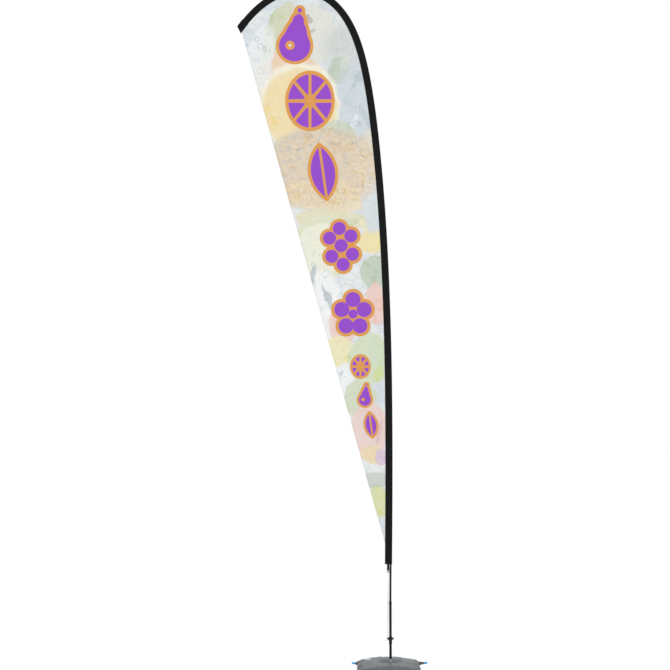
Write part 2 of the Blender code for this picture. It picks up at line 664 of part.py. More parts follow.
def collar():
    plastic = finish("collar_plastic", (0.022, 0.022, 0.024), 0.45)
    rubber_cord = finish("white_elastic", (0.80, 0.80, 0.79), 0.7)

    bore = FOOT_TUBE_RADIUS + SLIP
    bottom = COLLAR_HEIGHT - COLLAR_SKIRT
    top = COLLAR_HEIGHT + COLLAR_TOP
    ears = EAR_REACH - COLLAR_RADIUS
    rings = [circle(bore, bottom), circle(COLLAR_RADIUS, bottom),
             circle(COLLAR_RADIUS, COLLAR_HEIGHT - COLLAR_TOP),
             collar_ring(COLLAR_RADIUS, ears, COLLAR_HEIGHT - EAR_HALF),
             collar_ring(COLLAR_RADIUS, ears, COLLAR_HEIGHT + EAR_HALF),
             circle(COLLAR_RADIUS, top), circle(bore, top)]
    piece = add("tension_collar", skin(rings, closed=True), plastic, "collar")
    for x in (-EAR_HOLE, EAR_HOLE):
        cut(piece, drill(EAR_HOLE_RADIUS, bottom, top, x))

    knot = knot_place()
    ball = bmesh.new()
    bmesh.ops.create_uvsphere(ball, u_segments=12, v_segments=8, radius=KNOT_RADIUS,
                              matrix=Matrix.Translation(knot))
    piece = add("cord_knot", ball, rubber_cord, "collar")
    away = Vector((-math.cos(TAIL_DROP), 0.0, -math.sin(TAIL_DROP)))
    tail = turned([(0.0, 0.0), (CORD_RADIUS, 0.0), (CORD_RADIUS, TAIL_LENGTH), (0.0, TAIL_LENGTH)],
                  sides=CORD_SIDES, frame=frame_along(away, knot))
    cut(piece, tail, "UNION")
    cord_tube("tension_cord", smooth_route(cord_route()), CORD_RADIUS, rubber_cord, "collar")


def knot_place():
    """The knot hangs just under the ear, outside it, where the loop is tied."""
    under_ear = COLLAR_HEIGHT - COLLAR_TOP
    return Vector((-OUTER_LEG, 0.0, under_ear))


def cord_route():
    """One loop: up from the knot, through the tab's eyelet, down through the ear, to the knot."""
    _, eyelet = tab_place()
    knot = knot_place()
    reach = KNOT_RADIUS + SEAT_GAP
    saddle = eyelet - Vector((0.0, 0.0, EYELET_OUTER))
    over = []
    for i in range(SADDLE_STEPS + 1):
        angle = math.pi * i / SADDLE_STEPS
        turn = Vector((0.0, -math.cos(angle), math.sin(angle))) * SADDLE_RADIUS
        over.append(saddle + turn)
    outer_top = Vector((-OUTER_LEG, 0.0, COLLAR_HEIGHT + COLLAR_TOP))
    inner_top = Vector((-EAR_HOLE, 0.0, COLLAR_HEIGHT + COLLAR_TOP))
    shares = [i / LEG_STEPS for i in range(1, LEG_STEPS)]
    below_ear = COLLAR_HEIGHT - COLLAR_TOP + reach
    start = [knot + Vector((0.0, 0.0, reach)), Vector((-OUTER_LEG, 0.0, COLLAR_HEIGHT)), outer_top]
    rise = [outer_top.lerp(over[0], share) for share in shares]
    fall = [over[-1].lerp(inner_top, share) for share in shares]
    turn_in = reach + TURN_IN * (OUTER_LEG - EAR_HOLE)
    back = [inner_top, Vector((-EAR_HOLE, 0.0, COLLAR_HEIGHT)), Vector((-EAR_HOLE, 0.0, below_ear)),
            knot + Vector((turn_in, 0.0, TURN_IN_RISE)), knot + Vector((reach, 0.0, 0.0))]
    return start + rise + over + fall + back


def smooth_route(route, pieces=2):
    """Points read from a Catmull-Rom curve through the route's own points."""
    ends = [2 * route[0] - route[1]] + route + [2 * route[-1] - route[-2]]
    points = []
    for a, b, c, d in zip(ends, ends[1:], ends[2:], ends[3:]):
        for i in range(pieces):
            t = i / pieces
            points.append(0.5 * (2 * b + (c - a) * t + (2 * a - 5 * b + 4 * c - d) * t * t
                                 + (3 * b - a - 3 * c + d) * t ** 3))
    return points + [route[-1]]


def cord_tube(name, points, radius, material, body):
    """A round cord along a line of points, in world coordinates."""
    curve = bpy.data.curves.new(name, "CURVE")
    curve.dimensions = "3D"
    curve.bevel_depth = radius
    curve.bevel_resolution = 2
    curve.use_fill_caps = True
    spline = curve.splines.new("POLY")
    spline.points.add(len(points) - 1)
    origin = BODIES[body].matrix_world.translation
    for point, place in zip(spline.points, points):
        point.co = (*(place - origin), 1.0)
    curve.materials.append(material)
    cord = bpy.data.objects.new(name, curve)
    bpy.context.collection.objects.link(cord)
    cord.parent = BODIES[body]


# ---- water bag -----------------------------------------------------------------------------------------
def bag_outline():
    """Points round the filled bag: straight sides, and quarter circles at the corners."""
    points = []
    reach = BAG_HALF - BAG_CORNER
    for quarter in range(4):
        turn = Matrix.Rotation(quarter * math.pi / 2, 3, "Z")
        for i in range(1, SIDE_STEPS):
            side = Vector((BAG_HALF, -reach + 2 * reach * i / SIDE_STEPS, 0.0))
            points.append((turn @ side, 0.0))
        for i in range(CORNER_STEPS + 1):
            angle = math.pi / 2 * i / CORNER_STEPS
            bend = Vector((math.cos(angle), math.sin(angle), 0.0)) * BAG_CORNER
            points.append((turn @ (Vector((reach, reach, 0.0)) + bend), math.sin(2 * angle)))
    return [(point + Vector((BAG_SHIFT, 0.0, 0.0)), corner) for point, corner in points]


def bag_body():
    """The filled bag as a closed solid, with its hole for the spindle."""
    underside = SWING_BAR_TOP + BAG_REST_GAP
    full = BAG_HEIGHT - underside
    rings = []
    for share, rise in BAG_PROFILE:
        loop = []
        for edge, corner in bag_outline():
            hole = edge.normalized() * BAG_HOLE_RADIUS
            droop = 1.0 - CORNER_DROOP * corner * share if rise > DROOP_FROM else 1.0
            spot = hole.lerp(edge, share)
            loop.append(Vector((spot.x, spot.y, underside + full * rise * droop)))
        rings.append(loop)
    bm = skin(rings, closed=True)
    bmesh.ops.triangulate(bm, faces=bm.faces)
    return bm


def label(bag, material):
    """A blank patch of film that follows the top of the bag."""
    tree = BVHTree.FromBMesh(bag)
    low, high = [], []
    for j in range(LABEL_ROWS + 1):
        for i in range(LABEL_COLUMNS + 1):
            x = LABEL_CENTRE[0] + LABEL_WIDTH * (i / LABEL_COLUMNS - 0.5)
            y = LABEL_CENTRE[1] + LABEL_DEPTH * (j / LABEL_ROWS - 0.5)
            spot = tree.ray_cast(Vector((x, y, 2 * BAG_HEIGHT)), Vector((0, 0, -1)))[0]
            low.append(spot + Vector((0.0, 0.0, LABEL_LIFT)))
            high.append(spot + Vector((0.0, 0.0, LABEL_LIFT + LABEL_THICKNESS)))
    bm = bmesh.new()
    sheets = [[bm.verts.new(p) for p in low], [bm.verts.new(p) for p in high]]
    width = LABEL_COLUMNS + 1
    for sheet in sheets:
        for j in range(LABEL_ROWS):
            for i in range(LABEL_COLUMNS):
                a = j * width + i
                bm.faces.new((sheet[a], sheet[a + 1], sheet[a + width + 1], sheet[a + width]))
    edges = [edge for edge in bm.edges if edge.is_boundary]
    bmesh.ops.bridge_loops(bm, edges=edges)
    add("bag_label", bm, material, "bag")


def filler(side, boot_length, dark, blue, rubber):
    """A filler at one rear corner: welded boot with a threaded stem, seal and screw cap."""
    sign = -1.0 if side == "left" else 1.0
    angle = math.radians(SPOUT_ANGLE)
    out = Vector((sign * math.cos(angle), math.sin(angle), 0.0))
    reach = BAG_HALF - BAG_CORNER
    corner = Vector((BAG_SHIFT + sign * reach, reach, SPOUT_HEIGHT))
    root = corner + out * (BAG_CORNER + SEAT_GAP)
    frame = frame_along(out, root)
    stem_end = boot_length + STEM_LENGTH
    boot = [(STEM_BORE, 0.0), (BOOT_RADIUS, 0.0), (CAP_RADIUS, boot_length), (STEM_RADIUS, boot_length),
            (STEM_RADIUS, stem_end), (STEM_BORE, stem_end)]
    add("filler_boot_" + side, turned(boot, SMALL_ROUND, frame), dark, "bag")
    seal_low = stem_end + SEAT_GAP
    seal_high = seal_low + SEAL_THICKNESS
    seal = [(0.0, seal_low), (STEM_RADIUS, seal_low), (STEM_RADIUS, seal_high), (0.0, seal_high)]
    joint_empty("cap_seal_" + side, root, "bag")
    add("cap_seal_" + side, turned(seal, SMALL_ROUND, frame), rubber, "cap_seal_" + side)
    joint_empty("cap_" + side, root, "cap_seal_" + side)
    thread = STEM_RADIUS + THREAD_PLAY
    mouth = boot_length + SEAT_GAP
    floor = seal_high + SEAT_GAP
    end = mouth + CAP_LENGTH
    crown = CAP_CROWN * CAP_RADIUS
    cap = [(0.0, floor), (thread, floor), (thread, mouth), (CAP_RADIUS, mouth),
           (CAP_RADIUS, end - crown), (CAP_RADIUS - crown, end), (0.0, end)]
    add("filler_cap_" + side, turned(cap, SMALL_ROUND, frame), blue, "cap_" + side)


def water_bag():
    film = finish("grey_pvc_film", (0.30, 0.31, 0.32), 0.42)
    white = finish("blank_label", (0.82, 0.81, 0.86), 0.5)
    dark = finish("dark_pvc", (0.075, 0.08, 0.082), 0.5)
    blue = finish("blue_cap", (0.02, 0.36, 0.70), 0.35)
    rubber = finish("seal_rubber", (0.03, 0.03, 0.03), 0.8)
    bag = bag_body()
    label(bag, white)
    add("water_bag", bag, film, "bag")
    filler("left", BOOT_LENGTHS[0], dark, blue, rubber)
    filler("right", BOOT_LENGTHS[1], dark, blue, rubber)


def main():
    clear_scene()
    joint_empty("base", (0.0, 0.0, 0.0))
    joint_empty("swing", (0.0, 0.0, SWING_BAR_Z), "base")
    joint_empty("spindle", (0.0, 0.0, LOWER_BEARING_Z), "base")
    joint_empty("cage_lower", (0.0, 0.0, LOWER_BEARING_Z), "base")
    joint_empty("cage_upper", (0.0, 0.0, UPPER_BEARING_Z), "base")
    joint_empty("mast", (0.0, 0.0, SEAT_HEIGHT), "spindle")
    joint_empty("collar", (0.0, 0.0, COLLAR_HEIGHT), "mast")
    joint_empty("bag", (0.0, 0.0, SWING_BAR_TOP), "base")
    cross_base()
    spindle()
    mast()
    flag()
    collar()
    water_bag()


main()
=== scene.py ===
"""Looks of a teardrop flag: printed cloth on a hooked mast, over a spindle and a water bag."""

import json
import logging
import math
from collections.abc import Callable
from dataclasses import dataclass, field
from enum import Enum
from functools import cached_property

import bmesh
import bpy
from mathutils import Matrix, Vector, noise
from mathutils.bvhtree import BVHTree

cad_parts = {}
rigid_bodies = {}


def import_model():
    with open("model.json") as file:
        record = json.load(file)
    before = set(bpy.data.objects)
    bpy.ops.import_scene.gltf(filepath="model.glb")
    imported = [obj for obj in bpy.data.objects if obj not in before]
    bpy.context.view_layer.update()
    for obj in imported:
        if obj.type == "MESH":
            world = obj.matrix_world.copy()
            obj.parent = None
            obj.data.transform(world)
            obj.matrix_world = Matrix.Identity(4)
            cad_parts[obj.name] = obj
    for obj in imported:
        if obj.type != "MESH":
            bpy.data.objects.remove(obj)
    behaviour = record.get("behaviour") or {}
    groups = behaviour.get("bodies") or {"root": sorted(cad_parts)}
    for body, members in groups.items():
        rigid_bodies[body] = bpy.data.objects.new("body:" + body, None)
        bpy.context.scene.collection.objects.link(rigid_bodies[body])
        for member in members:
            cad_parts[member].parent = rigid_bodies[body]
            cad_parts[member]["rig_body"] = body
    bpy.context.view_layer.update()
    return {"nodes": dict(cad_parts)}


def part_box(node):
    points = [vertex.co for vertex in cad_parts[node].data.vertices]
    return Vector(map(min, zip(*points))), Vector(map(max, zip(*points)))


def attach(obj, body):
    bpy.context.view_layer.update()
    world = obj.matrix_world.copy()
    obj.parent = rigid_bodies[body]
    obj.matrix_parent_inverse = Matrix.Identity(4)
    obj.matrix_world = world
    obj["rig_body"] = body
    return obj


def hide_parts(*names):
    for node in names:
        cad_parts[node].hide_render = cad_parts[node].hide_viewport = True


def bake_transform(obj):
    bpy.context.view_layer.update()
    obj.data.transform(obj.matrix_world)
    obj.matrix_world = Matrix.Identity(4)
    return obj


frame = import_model()

Colour = tuple[float, float, float]
Pair = tuple[float, float]
Socket = bpy.types.NodeSocket
Value = Socket | float | tuple
Place = Callable[[float, float], Vector]
log = logging.getLogger("teardrop_flag")


# ---- finishes -----------------------------------------------------------------------------
class Grain(Enum):
    """How a finish's surface is broken up."""

    PEBBLED = "fine pebble of moulded or powder-coated parts"
    TURNED = "rings left by a lathe, square to the mast"
    DRAWN = "streaks along the mast"
    WOVEN = "crossed threads"
    RIBBED = "ribs across a strap"
    BRAIDED = "crossed strands of an elastic cord"


def linear(red: float, green: float, blue: float) -> Colour:
    """Turn a colour of 0 to 255 as seen on a screen into linear light.

    Args:
        red: Red, 0 to 255.
        green: Green, 0 to 255.
        blue: Blue, 0 to 255.

    Returns:
        The linear colour.
    """
    shares = (red / 255.0, green / 255.0, blue / 255.0)
    return tuple(s / 12.92 if s < 0.04045 else ((s + 0.055) / 1.055) ** 2.4 for s in shares)


class Canvas:
    """Writes nodes into a new material, each call giving the socket to use next."""

    def __init__(self, name: str) -> None:
        """Start a material with its Principled shader.

        Args:
            name: The material's name.
        """
        self.material = bpy.data.materials.new(name)
        self.material.use_nodes = True
        self.tree = self.material.node_tree
        self.shader = self.tree.nodes["Principled BSDF"]

    def put(self, socket: Socket, value: Value) -> None:
        """Link a socket to another one, or set it to a constant.

        Args:
            socket: The one to fill.
            value: Another socket, or a constant.
        """
        if isinstance(value, Socket):
            self.tree.links.new(value, socket)
        else:
            socket.default_value = value

    def node(self, kind: str, **settings: object) -> bpy.types.Node:
        """Add a node and set its own properties.

        Args:
            kind: Its type, without ShaderNode.
            **settings: Its properties.

        Returns:
            The node.
        """
        made = self.tree.nodes.new("ShaderNode" + kind)
        for key, value in settings.items():
            setattr(made, key, value)
        return made

    def math(self, operation: str, first: Value, second: Value = 0.0,
             third: Value = 0.0) -> Socket:
        """One step of arithmetic on values.

        Args:
            operation: What is done.
            first: The first value.
            second: The second, where there is one.
            third: The third.

        Returns:
            The result.
        """
        made = self.node("Math", operation=operation)
        for socket, value in zip(made.inputs, (first, second, third)):
            self.put(socket, value)
        return made.outputs[0]

    def times(self, first: Value, second: Value) -> Socket:
        """Two values multiplied."""
        return self.math("MULTIPLY", first, second)

    def apart(self, first: Value, second: Value) -> Socket:
        """How far apart two values are."""
        return self.math("ABSOLUTE", self.math("SUBTRACT", first, second))

    def vector(self, operation: str, first: Value, second: Value = (0, 0, 0)) -> bpy.types.Node:
        """One step of arithmetic on vectors.

        Args:
            operation: What is done.
            first: The first vector.
            second: The second, where there is one.

        Returns:
            The node, because its result may be a vector or a value.
        """
        made = self.node("VectorMath", operation=operation)
        self.put(made.inputs[0], first)
        self.put(made.inputs[1], second)
        return made

    def length(self, where: Value) -> Socket:
        """Distance from the middle of some coordinates."""
        return self.vector("LENGTH", where).outputs["Value"]

    def away_from(self, where: Value, spot: Pair) -> Socket:
        """Distance from a spot given across and up."""
        return self.vector("DISTANCE", where, (spot[0], 0.0, spot[1])).outputs["Value"]

    def placed(self, where: Value, centre: Pair, tilt: float,
               size: Pair = (1.0, 1.0)) -> Socket:
        """Coordinates centred, turned and sized for one motif.

        Args:
            where: Socket of flat coordinates, across in X and up in Z.
            centre: Where the motif stands, across and up.
            tilt: Its lean in degrees, positive towards +X at the top.
            size: What counts as one across and one up.

        Returns:
            The motif's own coordinates.
        """
        made = self.node("Mapping", vector_type="TEXTURE")
        self.put(made.inputs["Vector"], where)
        made.inputs["Location"].default_value = (centre[0], 0.0, centre[1])
        made.inputs["Rotation"].default_value = (0.0, math.radians(tilt), 0.0)
        made.inputs["Scale"].default_value = (size[0], 1.0, size[1])
        return made.outputs[0]

    def split(self, where: Value) -> tuple[Socket, Socket]:
        """The across and up values of flat coordinates.

        Args:
            where: The coordinates.

        Returns:
            Across, then up.
        """
        made = self.node("SeparateXYZ")
        self.put(made.inputs[0], where)
        return made.outputs[0], made.outputs[2]

    def fade(self, value: Value, start: float, end: float) -> Socket:
        """A share that goes smoothly from 1 at start to 0 at end.

        Args:
            value: What the share depends on.
            start: Where it leaves 1.
            end: Where it reaches 0.

        Returns:
            The share.
        """
        made = self.node("MapRange", interpolation_type="SMOOTHSTEP")
        for key, number in (("From Min", start), ("From Max", end), ("To Min", 1.0), ("To Max", 0.0)):
            made.inputs[key].default_value = number
        self.put(made.inputs["Value"], value)
        return made.outputs[0]

    def mix(self, share: Value, under: Value, over: Value) -> Socket:
        """One colour laid over another.

        Args:
            share: How much of the upper one shows.
            under: The lower colour.
            over: The upper colour.

        Returns:
            The mixed colour.
        """
        made = self.node("Mix", data_type="RGBA")
        self.put(made.inputs[0], share)
        for socket, colour in ((made.inputs[6], under), (made.inputs[7], over)):
            self.put(socket, (*colour, 1.0) if isinstance(colour, tuple) else colour)
        return made.outputs[2]

    def noise(self, where: Value, scale: float, detail: float = 3.0,
              distortion: float = 0.0) -> bpy.types.Node:
        """Cloudy noise at a place.

        Args:
            where: The place.
            scale: Clouds to a metre.
            detail: How many finer layers it has.
            distortion: How far it is swirled.

        Returns:
            The node, because its result may be a value or a colour.
        """
        made = self.node("TexNoise")
        self.put(made.inputs["Vector"], where)
        made.inputs["Scale"].default_value = scale
        made.inputs["Detail"].default_value = detail
        made.inputs["Distortion"].default_value = distortion
        return made

    def bands(self, where: Value, direction: str, pitch: float) -> Socket:
        """Ridges across one direction, a pitch apart.

        Args:
            where: Coordinates in metres.
            direction: X, Y, Z or DIAGONAL.
            pitch: From one ridge to the next.

        Returns:
            A height from 0 to 1.
        """
        made = self.node("TexWave", bands_direction=direction)
        self.put(made.inputs["Vector"], where)
        made.inputs["Scale"].default_value = math.tau / 20.0 / pitch
        return made.outputs["Fac"]

    def bump(self, height: Value, depth: float, under: Value | None = None) -> Socket:
        """A bumped normal, depth in metres, on top of another one if given.

        Args:
            height: From 0 to 1 over the surface.
            depth: How high 1 stands.
            under: The normal below.

        Returns:
            The normal.
        """
        made = self.node("Bump")
        made.inputs["Strength"].default_value = 1.0
        made.inputs["Distance"].default_value = depth
        self.put(made.inputs["Height"], height)
        if under is not None:
            self.put(made.inputs["Normal"], under)
        return made.outputs[0]

    def shade(self, **sockets: object) -> bpy.types.Material:
        """Fill the shader's sockets by name, underscores standing for spaces.

        Args:
            **sockets: A value or socket for each name.

        Returns:
            The material.
        """
        for key, value in sockets.items():
            socket = self.shader.inputs[key.replace("_", " ")]
            self.put(socket, (*value, 1.0) if key == "Base_Color" and isinstance(value, tuple) else value)
        return self.material


@dataclass(frozen=True)
class Finish:
    """One real finish: its colour, gloss and the grain of its surface.

    Args:
        name: The material's name.
        colour: Linear colour.
        roughness: Middle of the roughness range.
        grain: How the surface is broken up.
        pitch: Size of the grain, in metres.
        depth: Height of the grain, in metres.
        metallic: 1 for bare metal.
        variation: How far the colour lightens in places.
        sheen: Share of the cloth's soft edge glow.
        on_cloth: Read the piece's own map instead of its place.
        gloss: Strength of its mirror light, 0.5 for plastic and near 0.1 for cloth.
    """

    name: str
    colour: Colour
    roughness: float
    grain: Grain
    pitch: float
    depth: float
    metallic: float = 0.0
    variation: float = 0.25
    sheen: float = 0.0
    on_cloth: bool = False
    gloss: float = 0.5

    @cached_property
    def material(self) -> bpy.types.Material:
        """The finish as a material, made once."""
        canvas = Canvas(self.name)
        if self.on_cloth:
            where = canvas.node("UVMap", uv_map="cloth").outputs[0]
        else:
            where = canvas.node("TexCoord").outputs["Object"]
        broad = canvas.noise(where, 0.11 / self.pitch ** 0.75, 4.0).outputs["Fac"]
        height = self.surface(canvas, where)
        light = tuple(min(1.0, c * (1.0 + 2.0 * self.variation) + 0.01 * self.variation)
                      for c in self.colour)
        dark = tuple(c * (1.0 - 0.5 * self.variation) for c in self.colour)
        # Lighter in broad patches and on the grain's high points, darker in its hollows.
        patches_over_grain = canvas.times(broad, canvas.math("MULTIPLY_ADD", height, 0.5, 0.5))
        colour = canvas.mix(patches_over_grain, dark, light)
        rough = canvas.math("MULTIPLY_ADD", broad, 0.24, self.roughness - 0.12)
        return canvas.shade(Base_Color=colour, Roughness=rough, Metallic=self.metallic,
                            Sheen_Weight=self.sheen, Specular_IOR_Level=self.gloss,
                            Normal=canvas.bump(height, self.depth))

    def surface(self, canvas: Canvas, where: Value) -> Socket:
        """The grain's height over the surface.

        Args:
            canvas: The material being written.
            where: Coordinates the grain follows.

        Returns:
            A value from 0, low, to 1, high.
        """
        if self.grain is Grain.PEBBLED:
            return canvas.noise(where, 0.5 / self.pitch, 6.0).outputs["Fac"]
        if self.grain is Grain.TURNED:
            rings = canvas.bands(where, "Z", self.pitch)
            fine = canvas.noise(where, 0.4 / self.pitch, 2.0).outputs["Fac"]
            return canvas.times(rings, fine)
        if self.grain is Grain.DRAWN:
            drawn = canvas.node("Mapping")
            canvas.put(drawn.inputs["Vector"], where)
            drawn.inputs["Scale"].default_value = (1.0, 1.0, 0.02)
            return canvas.noise(drawn.outputs[0], 0.5 / self.pitch, 5.0).outputs["Fac"]
        if self.grain is Grain.RIBBED:
            return canvas.bands(where, "Z", self.pitch)
        across, along = ("X", "Y") if self.on_cloth else ("X", "Z")
        if self.grain is Grain.BRAIDED:
            across = "DIAGONAL"
        weft = canvas.bands(where, across, self.pitch)
        warp = canvas.bands(where, along, self.pitch)
        return canvas.math("MAXIMUM", weft, warp)


POWDER_COAT = Finish("black_powder_coat", (0.030, 0.031, 0.033), 0.48, Grain.PEBBLED, 0.0012, 0.00005,
                     metallic=0.4)
FOOT_RUBBER = Finish("foot_rubber", (0.018, 0.018, 0.018), 0.82, Grain.PEBBLED, 0.0015, 0.00008)
ZINC = Finish("bright_zinc", (0.62, 0.64, 0.66), 0.34, Grain.PEBBLED, 0.0020, 0.00003,
              metallic=1.0, variation=0.12)
NYLON = Finish("white_nylon", (0.80, 0.80, 0.77), 0.50, Grain.TURNED, 0.0006, 0.00002, variation=0.10)
GROUND_STEEL = Finish("ground_steel", (0.66, 0.67, 0.68), 0.24, Grain.TURNED, 0.0004, 0.00001,
                      metallic=1.0, variation=0.10)
BRASS = Finish("pressed_brass", (0.70, 0.52, 0.22), 0.34, Grain.PEBBLED, 0.0012, 0.00002,
               metallic=1.0, variation=0.15)
TURNED_ALLOY = Finish("turned_alloy", (0.70, 0.71, 0.72), 0.30, Grain.TURNED, 0.0005, 0.00002,
                      metallic=1.0, variation=0.12)
BLACK_ALLOY = Finish("black_anodised", (0.0040, 0.0040, 0.0048), 0.38, Grain.DRAWN, 0.0008, 0.00002,
                     variation=0.5, gloss=0.16)
FIBRE = Finish("black_glass_fibre", (0.0048, 0.0048, 0.0052), 0.42, Grain.DRAWN, 0.0006, 0.00003,
               variation=0.5, gloss=0.18)
BLACK_STEEL = Finish("blackened_steel", (0.016, 0.016, 0.018), 0.34, Grain.TURNED, 0.0005, 0.00001,
                     metallic=0.8, variation=0.3, gloss=0.3)
BLACK_MOULD = Finish("black_moulding", (0.0045, 0.0045, 0.0052), 0.44, Grain.PEBBLED, 0.0007, 0.00004,
                     variation=0.4, gloss=0.20)
SLEEVE_CLOTH = Finish("black_stretch_cloth", (0.0042, 0.0043, 0.0048), 0.82, Grain.WOVEN, 0.0011, 0.00010,
                      variation=0.5, sheen=0.02, on_cloth=True, gloss=0.10)
WEBBING = Finish("black_webbing", (0.008, 0.008, 0.009), 0.82, Grain.RIBBED, 0.0016, 0.00025,
                 variation=0.4, sheen=0.03, gloss=0.12)
NICKEL = Finish("nickel", (0.66, 0.65, 0.62), 0.30, Grain.PEBBLED, 0.0010, 0.00001,
                metallic=1.0, variation=0.10)
ELASTIC = Finish("white_elastic", (0.66, 0.66, 0.65), 0.72, Grain.BRAIDED, 0.0022, 0.00020)
BLANK_FILM = Finish("blank_film", linear(214, 212, 224), 0.45, Grain.PEBBLED, 0.0030, 0.00004,
                    variation=0.06)
DARK_PVC = Finish("dark_soft_plastic", (0.040, 0.044, 0.046), 0.48, Grain.PEBBLED, 0.0012, 0.00006)
BLUE_CAP = Finish("blue_moulding", linear(38, 158, 218), 0.34, Grain.PEBBLED, 0.0010, 0.00003,
                  variation=0.12)
SEAL = Finish("black_seal", (0.02, 0.02, 0.02), 0.80, Grain.PEBBLED, 0.0010, 0.00004)


# ---- printed cloth ------------------------------------------------------------------------
class Mark(Enum):
    """The shapes a print is built from."""

    DISC = "filled round patch"
    WHEEL = "round slice with spokes"
    DROP = "round below, drawn in above"
    LEAF = "pointed at both ends, with a vein"
    CLUSTER = "a bunch of round berries"
    BLOOM = "five round petals and a middle"


@dataclass(frozen=True)
class Wash:
    """One pale patch of the background.

    Args:
        mark: Its shape.
        centre: Across and up, in metres.
        size: Half width and half height.
        colour: Linear colour.
        strength: Share of what lies under it that it hides.
        tilt: Degrees, positive towards +X at the top.
        soft: Width of its edge as a share of its size.
    """

    mark: Mark
    centre: Pair
    size: Pair
    colour: Colour
    strength: float = 0.8
    tilt: float = 0.0
    soft: float = 0.06


@dataclass(frozen=True)
class Motif:
    """One of the large shapes printed down the flag.

    Args:
        mark: Its shape.
        centre: Across and up, in metres.
        width: Its width.
        height: Its height.
        tilt: Degrees, positive towards +X at the top.
    """

    mark: Mark
    centre: Pair
    width: float
    height: float
    tilt: float = 0.0


